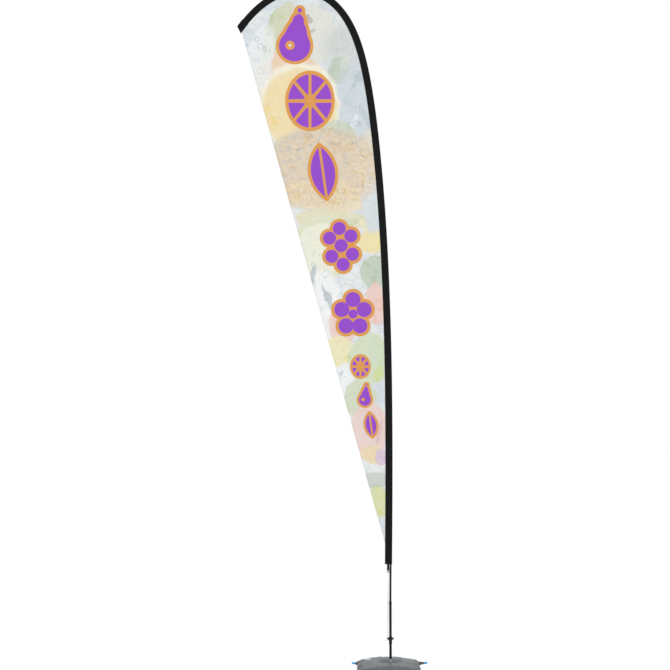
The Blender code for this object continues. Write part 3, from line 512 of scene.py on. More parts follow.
@dataclass(frozen=True)
class Print:
    """The flag's print: pale fruit shapes behind, and large two-colour motifs in front.

    Args:
        ground: Colour of the cloth's bare places.
        fill: Colour inside the motifs.
        edge: Colour of their borders.
        ink: Tone of the whole print, under 1 where the cloth takes up light.
        edge_width: Width of a motif's border, in metres.
        small_motif: Motifs narrower than this have a thinner border.
        small_edge: Width of that border as a share of the others'.
        blur: Half the width over which two inks meet.
        wander: How far the pale patches stray from their outlines.
        stitch_pitch: From one stitch of the hem to the next.
        stitch_line: From the free edge to the row of stitches.
        hem: Where the hem's fold starts and ends, from the free edge.
        threads: Pitch of the knit across and up.
        drop_places: Where line-drawn drops show: centre, then half width and height.
        washes: The pale patches, each laid over those before it.
        motifs: The large shapes, from the top down.
    """

    ground: Colour = linear(234, 237, 236)
    fill: Colour = linear(152, 80, 206)
    edge: Colour = linear(225, 159, 86)
    ink: float = 0.88
    edge_width: float = 0.021
    small_motif: float = 0.2
    small_edge: float = 0.7
    blur: float = 0.0022
    wander: float = 0.07
    stitch_pitch: float = 0.0045
    stitch_line: float = 0.0095
    hem: Pair = (0.0112, 0.0125)
    threads: Pair = (0.0010, 0.0013)
    drop_places: tuple[tuple[Pair, Pair], ...] = (
        ((-0.88, 4.08), (0.09, 0.26)), ((-0.50, 2.55), (0.13, 0.22)),
        ((-0.20, 3.72), (0.12, 0.30)), ((-0.36, 1.98), (0.10, 0.10)))
    washes: tuple[Wash, ...] = (
        Wash(Mark.DISC, (-0.42, 2.15), (0.15, 0.85), linear(246, 248, 248), 0.90, -16.0, 0.4),
        Wash(Mark.DISC, (-0.76, 4.13), (0.085, 0.27), linear(182, 196, 146), 0.95, 8.0),
        Wash(Mark.DISC, (-0.70, 4.20), (0.095, 0.25), linear(206, 209, 172), 0.95, 8.0),
        Wash(Mark.DISC, (-0.52, 4.22), (0.17, 0.21), linear(224, 224, 214), 0.90),
        Wash(Mark.DISC, (-0.53, 4.33), (0.034, 0.022), linear(176, 160, 144), 0.85, 30.0),
        Wash(Mark.DISC, (-0.52, 4.25), (0.030, 0.018), linear(186, 170, 152), 0.80, -20.0),
        Wash(Mark.DISC, (-0.28, 4.14), (0.15, 0.16), linear(196, 203, 198), 0.70, 20.0, 0.35),
        Wash(Mark.DISC, (-0.33, 3.98), (0.070, 0.095), linear(180, 194, 172), 0.90, 12.0),
        Wash(Mark.DISC, (-0.29, 4.03), (0.032, 0.045), linear(212, 220, 206), 0.75, 12.0),
        Wash(Mark.DISC, (-0.23, 3.74), (0.15, 0.30), linear(200, 211, 218), 0.85, 8.0, 0.30),
        Wash(Mark.DISC, (-0.665, 3.81), (0.255, 0.31), linear(236, 204, 172), 0.95),
        Wash(Mark.DISC, (-0.60, 3.745), (0.275, 0.295), linear(247, 240, 214), 0.95, 0.0, 0.05),
        Wash(Mark.DISC, (-0.595, 3.73), (0.250, 0.270), linear(240, 222, 170), 0.98, 0.0, 0.05),
        Wash(Mark.WHEEL, (-0.595, 3.73), (0.235, 0.255), linear(243, 214, 138), 0.55, 20.0),
        Wash(Mark.LEAF, (-0.20, 3.93), (0.040, 0.120), linear(186, 198, 206), 0.80, 34.0),
        Wash(Mark.LEAF, (-0.15, 3.66), (0.036, 0.110), linear(178, 194, 206), 0.75, -18.0),
        Wash(Mark.LEAF, (-0.24, 3.62), (0.030, 0.085), linear(226, 232, 236), 0.90, 26.0),
        Wash(Mark.DISC, (-0.33, 3.56), (0.11, 0.085), linear(198, 208, 180), 0.90, 20.0),
        Wash(Mark.DISC, (-0.47, 3.32), (0.36, 0.27), linear(206, 198, 186), 0.97, 0.0, 0.10),
        Wash(Mark.DISC, (-0.40, 3.14), (0.30, 0.11), linear(240, 222, 180), 0.85, 4.0, 0.15),
        Wash(Mark.DISC, (-0.13, 3.36), (0.10, 0.22), linear(226, 216, 196), 0.80, 4.0, 0.15),
        Wash(Mark.DISC, (-0.12, 3.12), (0.07, 0.13), linear(214, 224, 230), 0.90, 4.0, 0.10),
        Wash(Mark.DISC, (-0.38, 2.98), (0.24, 0.075), linear(226, 220, 178), 0.90, 4.0, 0.10),
        Wash(Mark.DISC, (-0.43, 2.79), (0.21, 0.21), linear(222, 226, 192), 0.95, 10.0),
        Wash(Mark.DISC, (-0.45, 2.78), (0.165, 0.17), linear(238, 238, 216), 0.95, 10.0),
        Wash(Mark.LEAF, (-0.27, 2.95), (0.045, 0.120), linear(206, 214, 178), 0.90, 62.0),
        Wash(Mark.LEAF, (-0.15, 2.93), (0.032, 0.090), linear(238, 226, 178), 0.90, -40.0),
        Wash(Mark.DISC, (-0.12, 2.83), (0.090, 0.085), linear(242, 224, 146), 0.90, 0.0, 0.10),
        Wash(Mark.DISC, (-0.10, 3.00), (0.06, 0.11), linear(208, 218, 222), 0.85, 4.0, 0.15),
        Wash(Mark.DISC, (-0.10, 2.63), (0.090, 0.11), linear(184, 199, 174), 0.92, 14.0),
        Wash(Mark.DISC, (-0.46, 2.48), (0.13, 0.16), linear(245, 247, 247), 0.92, 12.0, 0.15),
        Wash(Mark.DISC, (-0.86, 4.05), (0.09, 0.24), linear(238, 241, 241), 0.80, 12.0, 0.15),
        Wash(Mark.LEAF, (-0.50, 2.60), (0.030, 0.085), linear(188, 198, 204), 0.90, 12.0),
        Wash(Mark.LEAF, (-0.41, 2.46), (0.034, 0.095), linear(182, 192, 196), 0.90, -24.0),
        Wash(Mark.DISC, (-0.09, 2.42), (0.080, 0.14), linear(240, 196, 182), 0.90, 0.0, 0.10),
        Wash(Mark.DISC, (-0.31, 2.28), (0.090, 0.14), linear(238, 196, 186), 0.85, 0.0, 0.10),
        Wash(Mark.DISC, (-0.32, 2.11), (0.095, 0.10), linear(238, 230, 168), 0.90, 0.0, 0.10),
        Wash(Mark.LEAF, (-0.21, 2.14), (0.035, 0.100), linear(188, 206, 160), 0.90, 40.0),
        Wash(Mark.DISC, (-0.14, 2.06), (0.13, 0.17), linear(206, 220, 180), 0.90, 8.0, 0.08),
        Wash(Mark.DISC, (-0.07, 1.96), (0.035, 0.05), linear(200, 218, 110), 0.70, 0.0, 0.15),
        Wash(Mark.DISC, (-0.20, 1.80), (0.11, 0.12), linear(204, 214, 180), 0.90, 12.0),
        Wash(Mark.DISC, (-0.13, 1.60), (0.13, 0.17), linear(236, 204, 196), 0.92, 0.0, 0.08),
        Wash(Mark.LEAF, (-0.07, 1.58), (0.030, 0.085), linear(226, 176, 172), 0.80, 16.0),
        Wash(Mark.DISC, (-0.12, 1.44), (0.08, 0.06), linear(238, 214, 160), 0.90, 0.0, 0.10),
        Wash(Mark.DISC, (-0.06, 1.42), (0.04, 0.05), linear(214, 186, 214), 0.85, 0.0, 0.10),
        Wash(Mark.DISC, (-0.09, 1.27), (0.09, 0.055), linear(196, 202, 194), 0.95, 0.0, 0.10),
        Wash(Mark.DISC, (-0.08, 1.13), (0.08, 0.10), linear(214, 220, 152), 0.95, 0.0, 0.08),
    )
    motifs: tuple[Motif, ...] = (
        Motif(Mark.DROP, (-0.618, 4.205), 0.25, 0.37, 8.0),
        Motif(Mark.WHEEL, (-0.524, 3.774), 0.33, 0.40, 0.0),
        Motif(Mark.LEAF, (-0.437, 3.297), 0.20, 0.39, -8.0),
        Motif(Mark.CLUSTER, (-0.318, 2.810), 0.27, 0.40, -6.0),
        Motif(Mark.BLOOM, (-0.240, 2.354), 0.29, 0.36, 0.0),
        Motif(Mark.WHEEL, (-0.191, 2.009), 0.15, 0.17, 0.0),
        Motif(Mark.DROP, (-0.160, 1.817), 0.12, 0.17, 6.0),
        Motif(Mark.LEAF, (-0.123, 1.628), 0.11, 0.19, -8.0),
    )

    @cached_property
    def material(self) -> bpy.types.Material:
        """The print as a material, made once."""
        canvas = Canvas("printed_cloth")
        place = canvas.node("TexCoord").outputs["Object"]
        flat = canvas.vector("MULTIPLY", place, (1.0, 0.0, 1.0)).outputs[0]
        drift = canvas.noise(flat, 9.0, 4.0).outputs["Color"]
        centred = canvas.vector("SUBTRACT", drift, (0.5, 0.5, 0.5)).outputs[0]
        small = canvas.vector("MULTIPLY", centred, (self.wander, 0.0, self.wander)).outputs[0]
        wobbly = canvas.vector("ADD", flat, small).outputs[0]
        colour = self.backdrop(canvas, wobbly)
        for wash in self.washes:
            colour = self.wash(canvas, wobbly, colour, wash)
        colour = self.texture(canvas, flat, wobbly, colour)
        for motif in self.motifs:
            colour = self.motif(canvas, flat, colour, motif)
        return self.cloth(canvas, flat, colour)

    def backdrop(self, canvas: Canvas, wobbly: Value) -> Socket:
        """Pale ground with cool cloudy patches, like crushed ice.

        Args:
            canvas: The material being written.
            wobbly: Flat coordinates with a little wander.

        Returns:
            The colour.
        """
        cloud = canvas.noise(wobbly, 5.0, 6.0, 0.6).outputs["Fac"]
        cool = canvas.mix(canvas.fade(cloud, 0.42, 0.62), self.ground, linear(214, 222, 227))
        cells = canvas.node("TexVoronoi", feature="DISTANCE_TO_EDGE")
        canvas.put(cells.inputs["Vector"], wobbly)
        cells.inputs["Scale"].default_value = 16.0
        facet = canvas.times(canvas.fade(cells.outputs["Distance"], 0.0, 0.07), 0.45)
        return canvas.mix(facet, cool, linear(180, 194, 206))

    def wash(self, canvas: Canvas, where: Value, under: Value, wash: Wash) -> Socket:
        """Lay one pale patch over the background.

        Args:
            canvas: The material being written.
            where: Flat coordinates with a little wander.
            under: Colour so far.
            wash: The patch.

        Returns:
            The colour with the patch on it.
        """
        own = canvas.placed(where, wash.centre, wash.tilt, wash.size)
        reach = canvas.length(own)
        if wash.mark is Mark.LEAF:
            sides = [canvas.away_from(own, (s, 0.0)) for s in (-0.7, 0.7)]
            reach = canvas.times(canvas.math("MAXIMUM", *sides), 0.8)
        share = canvas.times(canvas.fade(reach, 1.0 - wash.soft, 1.0 + wash.soft), wash.strength)
        if wash.mark is Mark.WHEEL:
            spoke = canvas.fade(self.spokes(canvas, own, 5.0), 0.010, 0.045)
            share = canvas.times(share, canvas.math("MULTIPLY_ADD", spoke, -0.6, 1.0))
        return canvas.mix(share, under, wash.colour)

    def spokes(self, canvas: Canvas, own: Value, count: float) -> Socket:
        """Distance to the nearest of evenly spaced spokes.

        Args:
            canvas: The material being written.
            own: The motif's own coordinates.
            count: Half the number of spokes.

        Returns:
            A distance.
        """
        across, up = canvas.split(own)
        turn = canvas.math("ARCTAN2", up, across)
        wave = canvas.math("ABSOLUTE", canvas.math("SINE", canvas.times(turn, count)))
        reach = canvas.length(own)
        return canvas.times(canvas.times(wave, reach), 1.0 / count)

    def texture(self, canvas: Canvas, flat: Value, wobbly: Value, under: Value) -> Socket:
        """Break the patches up: speckled skin in the middle, line-drawn drops at the free edge.

        Args:
            canvas: The material being written.
            flat: Flat coordinates in metres.
            wobbly: The same with a little wander.
            under: Colour so far.

        Returns:
            The colour, broken up.
        """
        speck = canvas.noise(flat, 42.0, 5.0, 0.4)
        band = canvas.placed(wobbly, (-0.43, 3.32), 0.0, (0.42, 0.28))
        inside = canvas.fade(canvas.length(band), 0.75, 1.1)
        brown = canvas.times(inside, canvas.fade(speck.outputs["Fac"], 0.56, 0.44))
        colour = canvas.mix(canvas.times(brown, 0.70), under, linear(178, 164, 150))
        grain = canvas.noise(flat, 26.0, 3.0, 0.8).outputs["Fac"]
        gold = canvas.times(inside, canvas.fade(grain, 0.44, 0.36))
        colour = canvas.mix(canvas.times(gold, 0.55), colour, linear(238, 208, 156))
        mottle = canvas.noise(wobbly, 13.0, 7.0, 1.4).outputs["Fac"]
        colour = canvas.mix(canvas.times(canvas.fade(mottle, 0.52, 0.66), 0.20),
                            colour, linear(250, 251, 250))
        veins = canvas.apart(mottle, 0.47)
        vein = canvas.times(canvas.fade(veins, 0.004, 0.018), 0.26)
        colour = canvas.mix(vein, colour, linear(168, 182, 190))
        drops = canvas.node("TexVoronoi", feature="F1")
        canvas.put(drops.inputs["Vector"], wobbly)
        drops.inputs["Scale"].default_value = 15.0
        ring = canvas.apart(drops.outputs["Distance"], 0.30)
        for centre, size in self.drop_places:
            spot = canvas.length(canvas.placed(wobbly, centre, 8.0, size))
            line = canvas.times(canvas.fade(ring, 0.02, 0.06), canvas.fade(spot, 0.7, 1.2))
            colour = canvas.mix(canvas.times(line, 0.45), colour, linear(172, 188, 198))
        return colour

    def motif(self, canvas: Canvas, flat: Value, under: Value, motif: Motif) -> Socket:
        """Print one large motif: a filled shape with an even border.

        Args:
            canvas: The material being written.
            flat: Flat coordinates in metres.
            under: Colour so far.
            motif: The shape.

        Returns:
            The colour with the motif on it.
        """
        widest = motif.width / 2 - self.edge_width
        squeeze = (motif.height / 2 - self.edge_width) / widest
        own = canvas.placed(flat, motif.centre, motif.tilt)
        edge = self.edge_width * (self.small_edge if motif.width < self.small_motif else 1.0)
        reach = self.outline(canvas, own, motif.mark, widest, squeeze, edge)
        border = canvas.fade(reach, edge - self.blur, edge + self.blur)
        inside = canvas.fade(reach, -self.blur, self.blur)
        return canvas.mix(inside, canvas.mix(border, under, self.edge), self.fill)

    def outline(self, canvas: Canvas, own: Value, mark: Mark, half: float, squeeze: float,
                edge: float) -> Socket:
        """Distance outwards from a motif's filled shape.

        Args:
            canvas: The material being written.
            own: The motif's own coordinates, in metres.
            mark: Which shape.
            half: Its half width.
            squeeze: Its height over its width.
            edge: Width of the border, which also fills the gaps inside.

        Returns:
            A distance in metres, negative inside.
        """
        if mark is Mark.WHEEL:
            round_own = canvas.vector("MULTIPLY", own, (1.0, 0.0, 1.0 / squeeze)).outputs[0]
            out = canvas.math("SUBTRACT", canvas.length(round_own), half)
            gap = canvas.math("SUBTRACT", 0.45 * edge, self.spokes(canvas, round_own, 4.0))
            hub = canvas.math("SUBTRACT", 0.16 * half, canvas.length(round_own))
            return canvas.math("MAXIMUM", canvas.math("MAXIMUM", out, gap), hub)
        if mark is Mark.LEAF:
            tall = half * squeeze
            radius = (half * half + tall * tall) / (2 * half)
            sides = [canvas.away_from(own, (s * (radius - half), 0.0)) for s in (-1, 1)]
            out = canvas.math("SUBTRACT", canvas.math("MAXIMUM", *sides), radius)
            across, _ = canvas.split(own)
            vein = canvas.math("SUBTRACT", 0.4 * edge, canvas.math("ABSOLUTE", across))
            return canvas.math("MAXIMUM", out, vein)
        if mark is Mark.DROP:
            foot = half * (1.0 - squeeze)
            out = canvas.math("SUBTRACT", canvas.away_from(own, (0.0, foot)), half)
            for share, size in ((0.45, 0.62), (0.80, 0.34), (1.10, 0.13)):
                spot = (0.0, foot + share * 2 * half * (squeeze - 0.5))
                step = canvas.math("SUBTRACT", canvas.away_from(own, spot), size * half)
                out = canvas.math("SMOOTH_MIN", out, step, 0.5 * half)
            shine = canvas.math("SUBTRACT", 0.30 * half, canvas.away_from(own, (-0.30 * half, foot)))
            return canvas.math("MAXIMUM", out, shine)
        if mark is Mark.CLUSTER:
            spots = [(-0.62, 0.30), (0.62, 0.30), (0.0, 0.62), (0.0, -0.02), (-0.60, -0.38), (0.60, -0.38),
                     (0.0, -0.72)]
            berry = 0.38 * half
        else:
            spots = [(0.62 * math.sin(math.tau * k / 5), 0.60 * math.cos(math.tau * k / 5)) for k in range(5)]
            berry = 0.40 * half
        away = [canvas.away_from(own, (x * half, z * half * squeeze)) for x, z in spots]
        out = away[0]
        for other in away[1:]:
            out = canvas.math("MINIMUM", out, other)
        out = canvas.math("SUBTRACT", out, berry)
        if mark is Mark.BLOOM:
            middle = canvas.math("SUBTRACT", canvas.away_from(own, (0.0, 0.0)), 0.24 * half)
            out = canvas.math("MINIMUM", out, middle)
        return out

    def cloth(self, canvas: Canvas, flat: Value, colour: Value) -> bpy.types.Material:
        """Finish the print as knitted cloth with a stitched hem along its free edge.

        Args:
            canvas: The material being written.
            flat: Flat coordinates in metres.
            colour: The printed colour.

        Returns:
            The material.
        """
        own = canvas.node("SeparateXYZ")
        canvas.put(own.inputs[0], canvas.node("UVMap", uv_map="cloth").outputs[0])
        across, along = own.outputs[:2]
        turn = canvas.math("FRACT", canvas.times(along, 1.0 / self.stitch_pitch))
        dash = canvas.fade(canvas.apart(turn, 0.5), 0.26, 0.34)
        offset = canvas.apart(across, self.stitch_line)
        stitch = canvas.times(dash, canvas.fade(offset, 0.0003, 0.0007))
        colour = canvas.mix(canvas.times(stitch, 0.5), colour, linear(196, 196, 190))
        fold = canvas.fade(across, *self.hem)
        weave = canvas.math("MAXIMUM", canvas.bands(flat, "X", self.threads[0]),
                            canvas.bands(flat, "Z", self.threads[1]))
        wrinkle = canvas.noise(flat, 3.5, 3.0, 0.3).outputs["Fac"]
        shaded = canvas.math("MULTIPLY_ADD", weave, 0.04 * self.ink, 0.96 * self.ink)
        tone = canvas.vector("SCALE", colour)
        canvas.put(tone.inputs["Scale"], shaded)
        relief = canvas.bump(wrinkle, 0.006)
        relief = canvas.bump(canvas.math("ADD", fold, canvas.times(stitch, -0.8)), 0.0005, relief)
        relief = canvas.bump(weave, 0.00006, relief)
        rough = canvas.math("MULTIPLY_ADD", wrinkle, 0.10, 0.70)
        return canvas.shade(Base_Color=tone.outputs[0], Roughness=rough, Normal=relief,
                            Sheen_Weight=0.03, Specular_IOR_Level=0.15)


@dataclass(frozen=True)
class BagFilm:
    """Grey coated film of the water bag: satin, creased, paler in its folds.

    Args:
        colour: Linear colour.
    """

    colour: Colour = (0.100, 0.113, 0.121)

    @cached_property
    def material(self) -> bpy.types.Material:
        """The film as a material, made once."""
        canvas = Canvas("grey_film")
        where = canvas.node("TexCoord").outputs["Object"]
        cloud = canvas.noise(where, 14.0, 5.0, 0.5).outputs["Fac"]
        crease = canvas.noise(where, 22.0, 3.0, 2.2).outputs["Fac"]
        ridge = canvas.apart(crease, 0.5)
        fold = canvas.fade(ridge, 0.0, 0.06)
        fine = canvas.noise(where, 420.0, 3.0).outputs["Fac"]
        light = tuple(c * 1.18 for c in self.colour)
        dark = tuple(c * 0.84 for c in self.colour)
        colour = canvas.mix(cloud, dark, light)
        colour = canvas.mix(canvas.times(fold, 0.22), colour, tuple(c * 1.5 for c in self.colour))
        relief = canvas.bump(fold, 0.0006)
        relief = canvas.bump(fine, 0.00012, relief)
        rough = canvas.math("MULTIPLY_ADD", cloud, 0.20, 0.36)
        return canvas.shade(Base_Color=colour, Roughness=rough, Normal=relief,
                            Coat_Weight=0.12, Coat_Roughness=0.35)


PRINT = Print()
BAG_FILM = BagFilm()


# ---- shared shape helpers ------------------------------------------------------------------
def finish_piece(name: str, bm: bmesh.types.BMesh, material: bpy.types.Material, body: str,
                 slot: str, nodes: tuple[str, ...] = (), sharp: float = 40.0) -> bpy.types.Object:
    """Turn a bmesh in the object's own frame into a piece that rides on a body.

    Args:
        name: The piece's name.
        bm: Its shape, freed here.
        material: Its finish.
        body: The body it moves with.
        slot: The record's material slot; not used.
        nodes: Nodes that it stands for.
        sharp: Edges sharper than this, in degrees, stay crisp.

    Returns:
        The piece.
    """
    mesh = bpy.data.meshes.new(name)
    bm.to_mesh(mesh)
    bm.free()
    mesh.materials.append(material)
    mesh.shade_smooth()
    mesh.set_sharp_from_angle(angle=math.radians(sharp))
    piece = bpy.data.objects.new(name, mesh)
    bpy.context.scene.collection.objects.link(piece)
    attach(piece, body)
    if nodes:
        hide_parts(*nodes)
    log.info("made %s with %d faces", name, len(mesh.polygons))
    return piece


def ramp(value: float, low: float, high: float) -> float:
    """A share that rises from 0 at low to 1 at high."""
    return min(1.0, max(0.0, (value - low) / (high - low)))


def thicken(piece: bpy.types.Object, thickness: float, offset: float = 0.0) -> None:
    """Give a sheet its thickness.

    Args:
        piece: The sheet.
        thickness: Of its wall, in metres.
        offset: -1 for a wall inside the sheet, 0 for one in its middle.
    """
    wall = piece.modifiers.new("thickness", "SOLIDIFY")
    wall.thickness = thickness
    wall.offset = offset
    wall.use_even_offset = True


def cloth_grid(columns: int, rows: int, place: Place,
               mapped: Callable[[float, float], Pair]) -> bmesh.types.BMesh:
    """Lay a grid of cloth over a surface.

    Args:
        columns: Cells across.
        rows: Cells along.
        place: Gives a point for shares across and along.
        mapped: Gives the cloth's own coordinates, in metres, for the same shares.

    Returns:
        The grid, with a map named cloth.
    """
    bm = bmesh.new()
    layer = bm.loops.layers.uv.new("cloth")
    bmesh.ops.create_grid(bm, x_segments=columns, y_segments=rows, size=0.5)
    for face in bm.faces:
        for loop in face.loops:
            loop[layer].uv = mapped(loop.vert.co.x + 0.5, loop.vert.co.y + 0.5)
    for vert in bm.verts:
        vert.co = place(min(1.0, max(0.0, vert.co.x + 0.5)), min(1.0, max(0.0, vert.co.y + 0.5)))
    return bm


def sharp_edges(bm: bmesh.types.BMesh, angle: float) -> list[bmesh.types.BMEdge]:
    """Edges whose two faces meet at more than an angle, in radians."""
    return [e for e in bm.edges if len(e.link_faces) == 2 and e.calc_face_angle() > angle]


def rounded(bm: bmesh.types.BMesh, edges: list[bmesh.types.BMEdge], width: float, segments: int) -> None:
    """Round some edges off."""
    bmesh.ops.bevel(bm, geom=edges, offset=width, segments=segments, profile=0.5, affect="EDGES",
                    material=-1, clamp_overlap=True)


def curved(a: Vector, b: Vector, c: Vector, d: Vector, share: float) -> Vector:
    """A point between the middle two of four, on the smooth curve through all of them.

    Args:
        a: The point before the stretch.
        b: Where the stretch starts.
        c: Where it ends.
        d: The point after it.
        share: How far along the stretch, from 0 to 1.

    Returns:
        The point.
    """
    t = share
    return 0.5 * (2 * b + (c - a) * t + (2 * a - 5 * b + 4 * c - d) * t * t
                  + (3 * b - a - 3 * c + d) * t ** 3)


def radial(angle: float) -> Vector:
    """The level direction at an angle round the mast."""
    return Vector((math.cos(angle), math.sin(angle), 0.0))


def turned(profile: list[Pair], steps: int = 40, bevel: float = 0.0) -> bmesh.types.BMesh:
    """Spin a profile of (radius, height) about Z, and soften its sharp edges.

    Args:
        profile: Points outside the axis, or starting and ending on it.
        steps: Steps round.
        bevel: Width taken off each sharp edge.

    Returns:
        A closed shape.
    """
    bm = bmesh.new()
    verts = [bm.verts.new((radius, 0.0, height)) for radius, height in profile]
    edges = [bm.edges.new(pair) for pair in zip(verts, verts[1:])]
    if profile[0][0] > 0.0:
        edges.append(bm.edges.new((verts[-1], verts[0])))
    bmesh.ops.spin(bm, geom=verts + edges, cent=(0, 0, 0), axis=(0, 0, 1), angle=math.tau,
                   steps=steps, use_merge=True)
    bmesh.ops.remove_doubles(bm, verts=bm.verts, dist=1e-6)
    bmesh.ops.recalc_face_normals(bm, faces=bm.faces)
    if bevel:
        rounded(bm, sharp_edges(bm, 0.6), bevel, 2)
    return bm


def stood_along(bm: bmesh.types.BMesh, direction: Vector, place: Vector) -> bmesh.types.BMesh:
    """Turn a shape's Z along a direction and move it to a place.

    Args:
        bm: The shape, standing on the origin.
        direction: Where its Z is to point.
        place: Where its foot is to be.

    Returns:
        The same shape.
    """
    turn = direction.to_track_quat("Z", "Y").to_matrix().to_4x4()
    bmesh.ops.transform(bm, matrix=Matrix.Translation(place) @ turn, verts=bm.verts)
    return bm


# ---- mast line ----------------------------------------------------------------------------
@dataclass(frozen=True)
class MastLine:
    """The mast's curve in the XZ plane, measured along it from the spindle's shoulder.

    Args:
        foot: Height of its lower end.
        length: Its whole length along the curve.
        tube: Length of its straight foot tube.
        lean: Degrees that it leans away from the flag above the tube.
        lean_rise: Distance over which that lean comes in.
        sweep: Degrees of the slow bend, which grows as the square of the distance.
        hook: Degrees of the sharper bend near its tip.
        hook_back: From the tip down to the middle of that bend.
        hook_spread: How far to each side of there most of that bend lies.
        law_past: How far past the tip the slow bend is complete.
        past_tip: How far past the tip its points go on.
        step: Distance between its points.
    """

    foot: float = 0.1265
    length: float = 5.132
    tube: float = 0.365
    lean: float = 0.715
    lean_rise: float = 0.08
    sweep: float = 15.83
    hook: float = 137.04
    hook_back: float = 0.551
    hook_spread: float = 0.411
    law_past: float = 0.025
    past_tip: float = 0.06
    step: float = 0.002

    def heading(self, along: float) -> float:
        """The mast's angle from upright.

        Args:
            along: Distance along the mast.

        Returns:
            The angle in radians, positive towards -X.
        """
        past = max(along - self.tube, 0.0)
        share = past / (self.length + self.law_past - self.tube)
        lean = -self.lean * (1.0 - math.exp(-past / self.lean_rise))
        hook = self.hook * (0.5 + 0.5 * math.tanh((along - self.length + self.hook_back) / self.hook_spread))
        return math.radians(lean + self.sweep * share * share + hook)

    @cached_property
    def points(self) -> list[Vector]:
        """Points along the curve, a step apart."""
        place = Vector((0.0, 0.0, self.foot))
        made = [place.copy()]
        for i in range(math.ceil((self.length + self.past_tip) / self.step)):
            angle = self.heading((i + 0.5) * self.step)
            place = place + Vector((-math.sin(angle), 0.0, math.cos(angle))) * self.step
            made.append(place.copy())
        return made

    def at(self, along: float) -> tuple[Vector, Vector, Vector]:
        """The mast's place and directions.

        Args:
            along: Distance along the mast.

        Returns:
            Its centre, the direction ahead, and the direction away from the flag.
        """
        spot = min(max(along / self.step, 0.0), len(self.points) - 1.001)
        index = int(spot)
        centre = self.points[index].lerp(self.points[index + 1], spot - index)
        angle = self.heading(along)
        ahead = Vector((-math.sin(angle), 0.0, math.cos(angle)))
        return centre, ahead, Vector((math.cos(angle), 0.0, math.sin(angle)))


MAST = MastLine()


